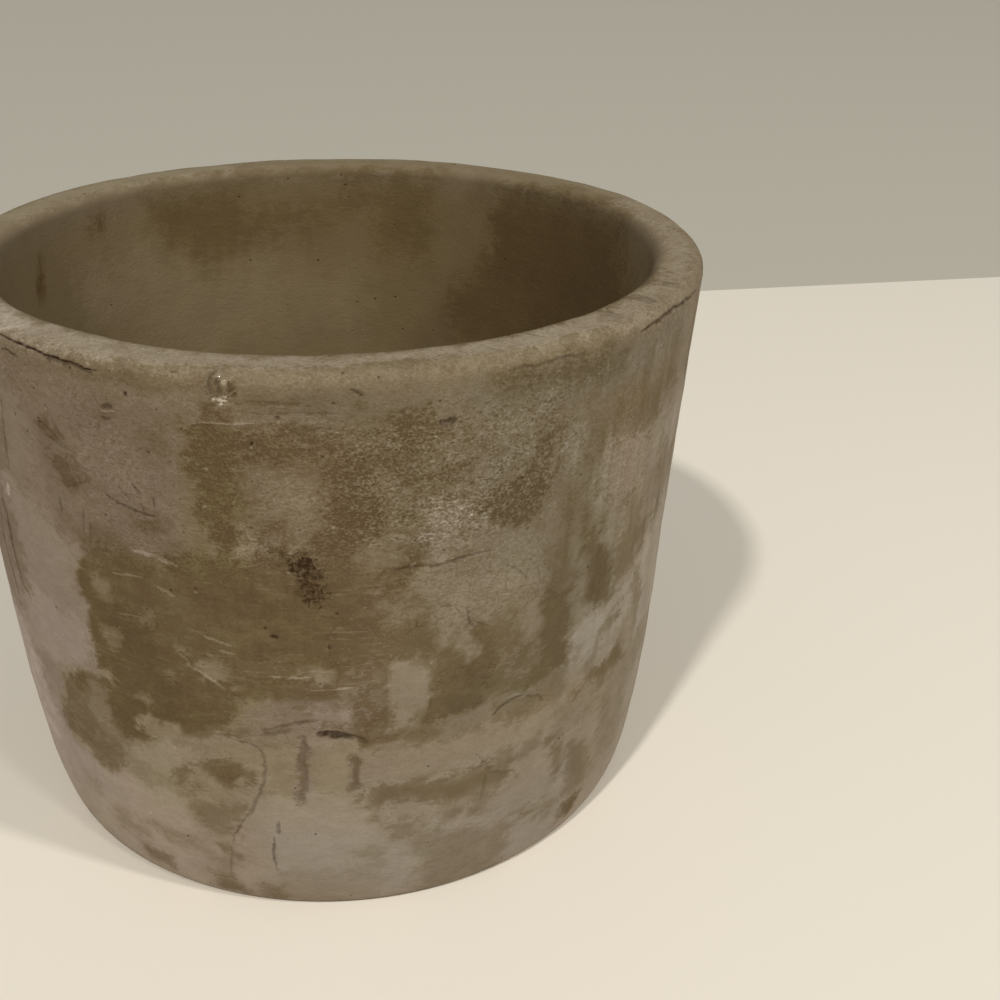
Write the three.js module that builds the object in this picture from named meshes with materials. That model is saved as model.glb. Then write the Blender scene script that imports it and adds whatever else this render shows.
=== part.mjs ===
// Concrete bowl planter: a small round pot, cast in one piece, that stands on a table or a counter.
// The wall leans out a little towards the rim and tucks in below the belly to a narrower flat foot.
// The frame is in millimetres with +Z up. The origin is the centre of the underside, on the surface
// that the pot stands on, and the side that faces the viewer is -Y.
import * as THREE from "three";

// Driving dimensions
const rimRadius = 56; // outside of the wall at the rim
const potHeight = 87;
const bellyRadius = 52.8; // outside of the wall where it starts to tuck in
const bellyHeight = 35;
const footRadius = 47.6; // edge of the flat underside
const wallBow = 0.15; // how far the wall hollows in halfway from the belly to the rim
const rimWall = 7.3; // thickness of the wall at the rim
const footWall = 8; // thickness of the wall where it meets the floor
const lipOuterRound = 1.9;
const lipInnerRound = 1.9;
const floorThickness = 9;
const floorFillet = 9; // rise of the round between the floor and the inner wall
const drainRadius = 6;
const drainRound = 1; // round at both mouths of the drain hole
const concreteColor = 0x7d705f;
const concreteRoughness = 0.88;

// How finely the round shapes are divided
const aroundSegments = 96;
const tuckSteps = 10;
const wallSteps = 5;
const lipSteps = 3;
const filletSteps = 5;
const drainSteps = 2;

// Evenly spaced numbers from the first to the last, both included.
function spaced(first, last, steps) {
  return Array.from({ length: steps + 1 }, (_, i) => first + ((last - first) * i) / steps);
}

// How far a quarter round stands off its corner: 0 where it starts, 1 at its far end.
function quarterRound(share) {
  return 1 - Math.sqrt(Math.max(0, 1 - share * share));
}

// Outside of the wall at a height. Above the belly it is a nearly straight line with a slight bow;
// below, that line runs on and the tuck, a quarter of a tall ellipse, draws it in to the foot.
function outerRadius(z) {
  const wallRise = potHeight - bellyHeight;
  if (z >= bellyHeight) {
    const share = (z - bellyHeight) / wallRise;
    return bellyRadius + (rimRadius - bellyRadius) * share - 4 * wallBow * share * (1 - share);
  }
  const slopeAtBelly = (rimRadius - bellyRadius - 4 * wallBow) / wallRise;
  const below = bellyHeight - z;
  const tuck = bellyRadius - slopeAtBelly * bellyHeight - footRadius;
  return bellyRadius - slopeAtBelly * below - tuck * quarterRound(below / bellyHeight);
}

// Inside of the wall at a height: the wall's thickness changes evenly from the floor to the rim.
function innerRadius(z) {
  const share = (z - floorThickness) / (potHeight - floorThickness);
  return outerRadius(z) - footWall - (rimWall - footWall) * share;
}

// The foot and the wall's outside, from the underside up to where the lip starts to round.
function outsideProfile() {
  const tuck = spaced(Math.PI / 2, 0, tuckSteps).map((angle) => bellyHeight * (1 - Math.sin(angle)));
  const wall = spaced(bellyHeight, potHeight - lipOuterRound, wallSteps).slice(1);
  return [...tuck, ...wall].map((z) => new THREE.Vector2(outerRadius(z), z));
}

// The lip: a round at each edge with a flat top between them.
function lipProfile() {
  const outerStart = potHeight - lipOuterRound;
  const innerEnd = potHeight - lipInnerRound;
  const outerCentre = outerRadius(outerStart) - lipOuterRound;
  const innerCentre = innerRadius(innerEnd) + lipInnerRound;
  const points = [];
  for (const angle of spaced(0, Math.PI / 2, lipSteps).slice(1)) {
    points.push(
      new THREE.Vector2(
        outerCentre + lipOuterRound * Math.cos(angle),
        outerStart + lipOuterRound * Math.sin(angle),
      ),
    );
  }
  for (const angle of spaced(Math.PI / 2, Math.PI, lipSteps)) {
    points.push(
      new THREE.Vector2(
        innerCentre + lipInnerRound * Math.cos(angle),
        innerEnd + lipInnerRound * Math.sin(angle),
      ),
    );
  }
  return points;
}

// The inner wall from the lip down, then the fillet to the edge of the flat floor.
function insideProfile() {
  const filletTop = floorThickness + floorFillet;
  const wall = spaced(potHeight - lipInnerRound, filletTop, wallSteps + 2)
    .slice(1)
    .map((z) => new THREE.Vector2(innerRadius(z), z));
  const fillet = spaced(0, Math.PI / 2, filletSteps)
    .slice(1)
    .map((angle) => {
      const z = filletTop - floorFillet * Math.sin(angle);
      return new THREE.Vector2(innerRadius(z) - floorFillet * quarterRound(Math.sin(angle)), z);
    });
  return [...wall, ...fillet];
}

// The drain hole through the floor, from its rounded upper mouth to its rounded lower one.
function drainProfile() {
  const mouthRadius = drainRadius + drainRound;
  const points = [];
  for (const angle of spaced(Math.PI / 2, Math.PI, drainSteps)) {
    points.push(
      new THREE.Vector2(
        mouthRadius + drainRound * Math.cos(angle),
        floorThickness - drainRound + drainRound * Math.sin(angle),
      ),
    );
  }
  for (const angle of spaced(Math.PI, (3 * Math.PI) / 2, drainSteps)) {
    points.push(
      new THREE.Vector2(
        mouthRadius + drainRound * Math.cos(angle),
        drainRound + drainRound * Math.sin(angle),
      ),
    );
  }
  return points;
}

// The whole pot: one closed section turned once around the upright axis.
function makePot() {
  const section = [...outsideProfile(), ...lipProfile(), ...insideProfile(), ...drainProfile()];
  section.push(section[0].clone());
  const geometry = new THREE.LatheGeometry(section, aroundSegments);
  geometry.rotateX(Math.PI / 2);
  const concrete = new THREE.MeshStandardMaterial({
    color: concreteColor,
    roughness: concreteRoughness,
    metalness: 0,
  });
  const pot = new THREE.Mesh(geometry, concrete);
  pot.name = "pot";
  return pot;
}

const planter = new THREE.Group();
planter.add(makePot());

export default planter;
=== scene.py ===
import bpy
import math
import random
import numpy as np
from mathutils import Matrix, Vector, noise


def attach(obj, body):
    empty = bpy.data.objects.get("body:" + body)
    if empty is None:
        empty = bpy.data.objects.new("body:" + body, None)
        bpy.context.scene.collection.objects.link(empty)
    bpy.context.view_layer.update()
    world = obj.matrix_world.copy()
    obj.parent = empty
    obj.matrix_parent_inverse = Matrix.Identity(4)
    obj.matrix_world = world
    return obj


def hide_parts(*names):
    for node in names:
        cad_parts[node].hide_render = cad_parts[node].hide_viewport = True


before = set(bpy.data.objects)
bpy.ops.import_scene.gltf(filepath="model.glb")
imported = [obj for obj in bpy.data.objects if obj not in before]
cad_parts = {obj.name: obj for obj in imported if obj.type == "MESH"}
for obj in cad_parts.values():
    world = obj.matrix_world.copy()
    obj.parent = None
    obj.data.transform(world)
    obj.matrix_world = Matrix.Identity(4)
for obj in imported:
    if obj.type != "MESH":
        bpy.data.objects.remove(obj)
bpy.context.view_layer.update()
mm = 0.001
raggedSeed = 11
noise.seed_set(raggedSeed)  # without it the ragged edges differ from run to run

cameraSet = {
    "place": (26.56 * mm, -192.32 * mm, 141.3 * mm),  # beside and above the front of the rim
    "downDegrees": 27.0,
    "rollDegrees": 1.474,
    "lensMm": 46.78,
    "sensorMm": 36,
}


def makeCamera():
    data = bpy.data.cameras.new("photoCamera")
    data.lens = cameraSet["lensMm"]
    data.sensor_width = cameraSet["sensorMm"]
    data.clip_start = 0.005
    camera = bpy.data.objects.new("photoCamera", data)
    bpy.context.scene.collection.objects.link(camera)
    tilt = Matrix.Rotation(math.radians(90 - cameraSet["downDegrees"]), 4, "X")
    roll = Matrix.Rotation(math.radians(cameraSet["rollDegrees"]), 4, "Z")
    camera.matrix_world = Matrix.Translation(cameraSet["place"]) @ tilt @ roll
    bpy.context.scene.camera = camera


makeCamera()
print("camera made")


class Wire:
    # One output of a node that takes part in shader maths.
    def __init__(self, paint, socket):
        self.paint = paint
        self.socket = socket

    def maths(self, operation, *values):
        node = self.paint.node("ShaderNodeMath", {"operation": operation})
        for place, value in enumerate(values):
            self.paint.join(value, node.inputs[place])
        return Wire(self.paint, node.outputs[0])

    def __add__(self, other):
        return self.maths("ADD", self, other)

    def __sub__(self, other):
        return self.maths("SUBTRACT", self, other)

    def __rsub__(self, other):
        return self.maths("SUBTRACT", other, self)

    def __mul__(self, other):
        return self.maths("MULTIPLY", self, other)

    def within(self):
        return self.maths("MAXIMUM", self.maths("MINIMUM", self, 1.0), 0.0)

    def atLeast(self, other):
        return self.maths("MAXIMUM", self, other)

    def spread(self, strength):
        # A noise round 0.5, stretched so that it fills the range from 0 to 1.
        return ((self - 0.5) * strength + 0.5).within()


class Paint:
    # A material's node tree, with one method that adds any node.
    def __init__(self, name):
        self.material = bpy.data.materials.new(name)
        self.material.use_nodes = True
        self.tree = self.material.node_tree
        self.tree.nodes.clear()

    def join(self, value, socket):
        if isinstance(value, Wire):
            self.tree.links.new(value.socket, socket)
        else:
            socket.default_value = value

    def node(self, kind, settings=None, inputs=None):
        node = self.tree.nodes.new(kind)
        for key, value in (settings or {}).items():
            if key == "stops":
                ramp = node.color_ramp
                while len(ramp.elements) < len(value):
                    ramp.elements.new(0.5)
                for element, (place, colour) in zip(ramp.elements, value):
                    element.position = place
                    element.color = colour
            else:
                setattr(node, key, value)
        for key, value in (inputs or {}).items():
            self.join(value, node.inputs[key])
        return node

    def wire(self, node, output=0):
        return Wire(self, node.outputs[output])

    def attribute(self, name):
        node = self.node("ShaderNodeAttribute", {"attribute_name": name})
        return self.wire(node, "Fac")

    def place(self, scale=(1, 1, 1), shift=(0, 0, 0)):
        source = self.node("ShaderNodeTexCoord")
        mapping = self.node(
            "ShaderNodeMapping",
            inputs={"Vector": self.wire(source, "Object"), "Scale": scale, "Location": shift},
        )
        return self.wire(mapping)

    def noise(self, where, scale, detail=4, roughness=0.55, distortion=0.0):
        node = self.node(
            "ShaderNodeTexNoise",
            inputs={
                "Vector": where,
                "Scale": scale,
                "Detail": detail,
                "Roughness": roughness,
                "Distortion": distortion,
            },
        )
        return self.wire(node, "Fac")

    def step(self, value, low, high):
        node = self.node(
            "ShaderNodeMapRange",
            {"interpolation_type": "SMOOTHSTEP", "clamp": True},
            {"Value": value, "From Min": low, "From Max": high},
        )
        return self.wire(node)

    def blend(self, factor, low, high, kind="MIX"):
        node = self.node("ShaderNodeMix", {"data_type": "RGBA", "blend_type": kind})
        self.join(factor, node.inputs[0])
        self.join(low, node.inputs[6])
        self.join(high, node.inputs[7])
        return Wire(self, node.outputs[2])


def linear(hexColour):
    # A screen colour such as "8a7c68" as the linear colour that a socket takes.
    parts = [int(hexColour[i : i + 2], 16) / 255 for i in (0, 2, 4)]
    return tuple(p / 12.92 if p <= 0.04045 else ((p + 0.055) / 1.055) ** 2.4 for p in parts) + (1,)


stageSet = {
    "floorColour": "e9e0cf",
    "backdropColour": "b1ab9c",
    "floorSize": 6,
    "rampStart": 228 * mm,  # how far behind the pot the backdrop starts to rise
    "rampTurn": 12.9,  # degrees that its foot is turned from the picture's plane
    "rampRise": 14,  # degrees
    "rampDepth": 2.5,
}


def plainMaterial(name, hexColour, roughness):
    paint = Paint(name)
    shader = paint.node(
        "ShaderNodeBsdfPrincipled",
        inputs={"Base Color": linear(hexColour), "Roughness": roughness},
    )
    out = paint.node("ShaderNodeOutputMaterial")
    paint.join(paint.wire(shader), out.inputs["Surface"])
    return paint.material


def makeStage():
    bpy.ops.object.select_all(action="DESELECT")
    bpy.ops.mesh.primitive_plane_add(size=stageSet["floorSize"], location=(0, 0, 0))
    floor = bpy.context.active_object
    floor.name = "floor"
    floor.data.materials.append(plainMaterial("floorPaint", stageSet["floorColour"], 0.5))
    bpy.ops.object.select_all(action="DESELECT")
    depth = stageSet["rampDepth"]
    bpy.ops.mesh.primitive_plane_add(size=1, location=(0, 0, 0))
    ramp = bpy.context.active_object
    ramp.name = "backdrop"
    toEdge = Matrix.Translation((0, 0.5, 0))
    grow = Matrix.Diagonal((stageSet["floorSize"], depth, 1, 1))
    rise = Matrix.Rotation(math.radians(stageSet["rampRise"]), 4, "X")
    turn = Matrix.Rotation(math.radians(stageSet["rampTurn"]), 4, "Z")
    out = Matrix.Translation((0, stageSet["rampStart"], -0.5 * mm))
    ramp.data.transform(out @ turn @ rise @ grow @ toEdge)
    ramp.data.materials.append(plainMaterial("backdropPaint", stageSet["backdropColour"], 0.7))


lampSet = {
    "key": {"around": -20, "up": 49.5, "away": 2.2, "size": 0.12, "share": 0.39},
    "side": {"around": 62, "up": 42, "away": 1.8, "size": 0.14, "share": 0.23},
    "filler": {"around": 41, "up": 45, "away": 1.8, "size": 0.16, "share": 0.09},
}
skyShare = 0.30
lampAim = Vector((0, 0, 45 * mm))  # the middle of the pot


def makeLamp(name, lamp):
    # share is the part of a level floor's light that this lamp gives.
    up = math.radians(lamp["up"])
    around = math.radians(lamp["around"])
    towards = Vector((math.sin(around) * math.cos(up), -math.cos(around) * math.cos(up), math.sin(up)))
    data = bpy.data.lights.new(name, "AREA")
    data.shape = "DISK"
    data.size = lamp["size"]
    data.energy = lamp["share"] * math.pi**2 * lamp["away"] ** 2 / math.sin(up)
    light = bpy.data.objects.new(name, data)
    light.location = towards * lamp["away"] + lampAim
    light.rotation_mode = "QUATERNION"
    light.rotation_quaternion = towards.to_track_quat("Z", "Y")
    light.visible_camera = False
    bpy.context.scene.collection.objects.link(light)


def makeSky():
    world = bpy.data.worlds.new("roomLight")
    world.use_nodes = True
    world.node_tree.nodes["Background"].inputs["Color"].default_value = (1.0, 0.985, 0.95, 1)
    world.node_tree.nodes["Background"].inputs["Strength"].default_value = skyShare
    bpy.context.scene.world = world
    bpy.context.scene.view_settings.view_transform = "Standard"


makeStage()
for name, lamp in lampSet.items():
    makeLamp(name, lamp)
makeSky()
print("stage and lamps made")

potSet = {
    "rimRadius": 56,
    "height": 87,
    "bellyRadius": 52.8,
    "bellyHeight": 35,
    "footRadius": 47.6,
    "wallBow": 0.15,
    "rimWall": 7.3,
    "footWall": 8,
    "lipRound": 1.9,
    "floorThickness": 9,
    "floorFillet": 9,
    "drainRadius": 6,
    "drainRound": 1,
    "rimLean": 0.0088,  # the rim's right side stands a little higher than its left
    "around": 390,
    "outsideStep": 0.85,  # mesh spacing up the outside, over the lip, inside and underneath
    "lipStep": 0.6,
    "insideStep": 3,
    "floorStep": 6,
    "mouthStep": 1.2,
    "mouthClimb": 400,  # the drain hole's climbs lie apart from all others
    "climbJump": 20,  # neighbours further apart than this are on different stretches
}
pot = potSet  # sizes in mm
weldGap = 0.01 * mm
seamGap = 0.05 * mm


def quarterRound(share):
    return 1 - math.sqrt(max(0.0, 1 - share * share))


def outerRadius(z):
    wallRise = pot["height"] - pot["bellyHeight"]
    growth = pot["rimRadius"] - pot["bellyRadius"]
    if z >= pot["bellyHeight"]:
        share = (z - pot["bellyHeight"]) / wallRise
        return pot["bellyRadius"] + growth * share - 4 * pot["wallBow"] * share * (1 - share)
    slope = (growth - 4 * pot["wallBow"]) / wallRise
    tuck = pot["bellyRadius"] - slope * pot["bellyHeight"] - pot["footRadius"]
    below = pot["bellyHeight"] - z
    return pot["bellyRadius"] - slope * below - tuck * quarterRound(below / pot["bellyHeight"])


def innerRadius(z):
    share = (z - pot["floorThickness"]) / (pot["height"] - pot["floorThickness"])
    wall = outerRadius(z) - pot["footWall"] - (pot["rimWall"] - pot["footWall"]) * share
    below = pot["floorThickness"] + pot["floorFillet"] - z
    return wall - pot["floorFillet"] * quarterRound(max(0.0, below) / pot["floorFillet"])


def arc(centre, radius, first, last, steps=24):
    turns = [math.radians(first + (last - first) * i / steps) for i in range(steps + 1)]
    return [(centre[0] + radius * math.cos(t), centre[1] + radius * math.sin(t)) for t in turns]


def evenPoints(line, spacing):
    # The same line with evenly spaced points; both ends stay.
    ends = np.array(line)
    runs = np.hypot(*np.diff(ends, axis=0).T)
    along = np.concatenate([[0], np.cumsum(runs)])
    stops = np.linspace(0, along[-1], max(2, round(along[-1] / spacing) + 1))
    return list(zip(np.interp(stops, along, ends[:, 0]), np.interp(stops, along, ends[:, 1])))


shoulder = pot["height"] - pot["lipRound"]
lipRun = pot["lipRound"] * math.pi + pot["rimWall"] - 2 * pot["lipRound"]  # from shoulder to shoulder


def potSection():
    # Points of the wall's section with the climb of each: its height on the outside, then on over the
    # lip, and on down the inside.
    top, roundness = pot["height"], pot["lipRound"]
    floor, fillet = pot["floorThickness"], pot["floorFillet"]
    mouth = pot["drainRadius"] + pot["drainRound"]
    turns = [math.radians(t) for t in range(90, -1, -1)]
    tuck = [pot["bellyHeight"] * (1 - math.sin(t)) for t in turns]
    outside = [(outerRadius(z), z) for z in tuck]
    outside += [(outerRadius(z), z) for z in np.linspace(pot["bellyHeight"], shoulder, 60)[1:]]
    outerCentre = (outerRadius(shoulder) - roundness, shoulder)
    innerCentre = (innerRadius(shoulder) + roundness, shoulder)
    lip = arc(outerCentre, roundness, 0, 90) + arc(innerCentre, roundness, 90, 180)
    inside = [(innerRadius(z), z) for z in np.linspace(shoulder, floor + fillet, 80)]
    inside += [(innerRadius(floor + fillet * (1 - math.sin(t))), floor + fillet * (1 - math.sin(t)))
               for t in reversed(turns)]
    upperMouth = arc((mouth, floor - pot["drainRound"]), pot["drainRound"], 90, 180)
    lowerMouth = arc((mouth, pot["drainRound"]), pot["drainRound"], 180, 270)
    pieces = [
        (outside, pot["outsideStep"]),
        (lip, pot["lipStep"]),
        (inside, pot["insideStep"]),
        ([inside[-1], upperMouth[0]], pot["floorStep"]),
        (upperMouth + lowerMouth, pot["mouthStep"]),
        ([lowerMouth[-1], outside[0]], pot["floorStep"]),
    ]
    section, climbs = [], []
    for number, (line, spacing) in enumerate(pieces):
        points = evenPoints(line, spacing)[:-1]
        for place, (r, z) in enumerate(points):
            if number == 0:
                climb = z
            elif number == 1:
                climb = shoulder + lipRun * place / len(points)
            elif number == 2:
                climb = shoulder + lipRun + shoulder - z
            elif number == 3:
                climb = 2 * shoulder + lipRun - floor + innerRadius(floor) - r
            elif number == 4:
                climb = pot["mouthClimb"] - z
            else:
                climb = r - pot["footRadius"]
            climbs.append(climb)
        section += points
    return section, climbs


def spinPot(section):
    # The section is drawn as a chain of extruded points and turned round the upright axis.
    bpy.ops.object.select_all(action="DESELECT")
    bpy.ops.mesh.primitive_plane_add(size=mm, location=(0, 0, 0))
    shell = bpy.context.active_object
    shell.name = "pot_shell"
    bpy.ops.object.mode_set(mode="EDIT")
    bpy.ops.mesh.select_all(action="SELECT")
    bpy.ops.mesh.merge(type="CENTER")
    bpy.ops.transform.translate(value=(section[0][0] * mm, 0, section[0][1] * mm))
    for (r0, z0), (r1, z1) in zip(section, section[1:] + section[:1]):
        step = ((r1 - r0) * mm, 0, (z1 - z0) * mm)
        bpy.ops.mesh.extrude_vertices_move(TRANSFORM_OT_translate={"value": step})
    bpy.ops.mesh.select_all(action="SELECT")
    bpy.ops.mesh.remove_doubles(threshold=weldGap)
    bpy.ops.object.mode_set(mode="OBJECT")
    turn = shell.modifiers.new("turn", "SCREW")
    turn.steps = pot["around"]
    turn.render_steps = pot["around"]
    turn.use_merge_vertices = True
    turn.merge_threshold = weldGap
    bpy.ops.object.modifier_apply(modifier="turn")
    bpy.ops.object.mode_set(mode="EDIT")
    bpy.ops.mesh.select_all(action="SELECT")
    bpy.ops.mesh.remove_doubles(threshold=seamGap)
    bpy.ops.mesh.normals_make_consistent(inside=False)
    bpy.ops.object.mode_set(mode="OBJECT")
    bpy.ops.object.shade_smooth()
    return shell


section, climbs = potSection()
shell = spinPot(section)
print("pot turned:", len(shell.data.vertices), "points")


def flatPlaces(points):
    # Each point as its angle round the pot, 0 at the front and growing to the right, and its climb.
    places = points * 1000
    radius = np.hypot(places[:, 0], places[:, 1])
    angles = np.degrees(np.arctan2(places[:, 0], -places[:, 1]))
    ends = np.array(section + section[:1])
    marks = np.array(climbs + climbs[:1])
    best = np.full(len(places), 1e9)
    climb = np.zeros(len(places))
    for i in range(len(section)):
        start, run = ends[i], ends[i + 1] - ends[i]
        share = ((radius - start[0]) * run[0] + (places[:, 2] - start[1]) * run[1]) / (run @ run)
        share = np.clip(share, 0, 1)
        gap = np.hypot(radius - start[0] - share * run[0], places[:, 2] - start[1] - share * run[1])
        near = gap < best - 1e-6
        best[near] = gap[near]
        jump = abs(marks[i + 1] - marks[i]) > pot["climbJump"]
        climb[near] = marks[i] if jump else (marks[i] + share * (marks[i + 1] - marks[i]))[near]
    return angles, climb, radius


def meshPoints(mesh):
    points = np.empty(len(mesh.vertices) * 3)
    mesh.vertices.foreach_get("co", points)
    return points.reshape(-1, 3)


def lineDistance(x, y, line, closed):
    # Distance in mm from each point to the line through the corners.
    best = np.full(len(x), 1e9)
    count = len(line)
    for i in range(count if closed else max(1, count - 1)):
        ax, ay = line[i]
        bx, by = line[(i + 1) % count]
        dx, dy = bx - ax, by - ay
        share = np.clip(((x - ax) * dx + (y - ay) * dy) / max(dx * dx + dy * dy, 1e-9), 0, 1)
        best = np.minimum(best, np.hypot(x - ax - share * dx, y - ay - share * dy))
    return best


def insideOutline(x, y, line):
    odd = np.zeros(len(x), bool)
    for i in range(len(line)):
        ax, ay = line[i]
        bx, by = line[(i + 1) % len(line)]
        if ay != by:
            odd ^= ((ay > y) != (by > y)) & (x < (bx - ax) * (y - ay) / (by - ay) + ax)
    return odd


def smooth(value):
    value = np.clip(value, 0, 1)
    return value * value * (3 - 2 * value)


raggedSet = {
    "broadScale": 240,
    "fineScale": 800,
    "fineShift": (3, 7, 5),
    "broadPush": 1.5,
    "finePush": 1.3,
    "reach": 9,  # how far round an outline the points are looked at, in degrees and mm
}


class Surface:
    # The pot's skin laid flat, so that marks and patches can be drawn on it in mm.
    def __init__(self, mesh):
        self.points = meshPoints(mesh)
        self.angles, self.climb, self.radius = flatPlaces(self.points)
        self.perDegree = self.radius * math.pi / 180
        places = [Vector(p) for p in self.points]
        shift = Vector(raggedSet["fineShift"])
        broad = [noise.noise_vector(p * raggedSet["broadScale"])[:2] for p in places]
        fine = [noise.noise_vector(p * raggedSet["fineScale"] + shift)[:2] for p in places]
        self.broad = np.array(broad)
        self.fine = np.array(fine)

    def flat(self, line, ragged):
        # Points near the line, in mm from its middle, pushed about by ragged mm.
        middle = sum(a for a, c in line) / len(line)
        level = sum(c for a, c in line) / len(line)
        turn = (self.angles - middle + 180) % 360 - 180
        reachA = max(abs(a - middle) for a, c in line) + raggedSet["reach"]
        reachC = max(abs(c - level) for a, c in line) + raggedSet["reach"]
        near = np.nonzero((abs(turn) < reachA) & (abs(self.climb - level) < reachC))[0]
        push = self.broad[near] * raggedSet["broadPush"] + self.fine[near] * raggedSet["finePush"]
        push = push * ragged
        scale = np.median(self.perDegree[near]) if len(near) else 0.95
        x = turn[near] * scale + push[:, 0]
        y = self.climb[near] - level + push[:, 1]
        return near, x, y, [((a - middle) * scale, c - level) for a, c in line]

    def patch(self, line, soft, ragged):
        # How much of the patch each nearby point is in, from 0 to 1.
        near, x, y, corners = self.flat(line, ragged)
        gap = lineDistance(x, y, corners, True)
        gap = np.where(insideOutline(x, y, corners), gap, -gap)
        return near, smooth(0.5 + gap / (2 * soft))

    def stroke(self, line, wide, ragged, edge):
        # The same for a line of this width, which gets thinner towards its ends.
        near, x, y, corners = self.flat(line, ragged)
        gap = lineDistance(x, y, corners, False)
        long = sum(math.dist(p, q) for p, q in zip(corners, corners[1:]))
        if long > 2 * wide:
            ends = np.minimum(*(np.hypot(x - px, y - py) for px, py in (corners[0], corners[-1])))
            wide = wide * (0.4 + 0.6 * smooth(ends / (0.3 * long)))
        return near, 1 - smooth((gap / (wide / 2) - edge) / (1.25 - edge))


markSet = {
    "margin": 0.45,  # mm of finer mesh round a mark
    "cuts": 3,
    "pitsAround": 34,
    "seed": 11,
    "raggedMost": 0.25,
    "raggedShare": 0.32,  # of the mark's width
}
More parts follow.
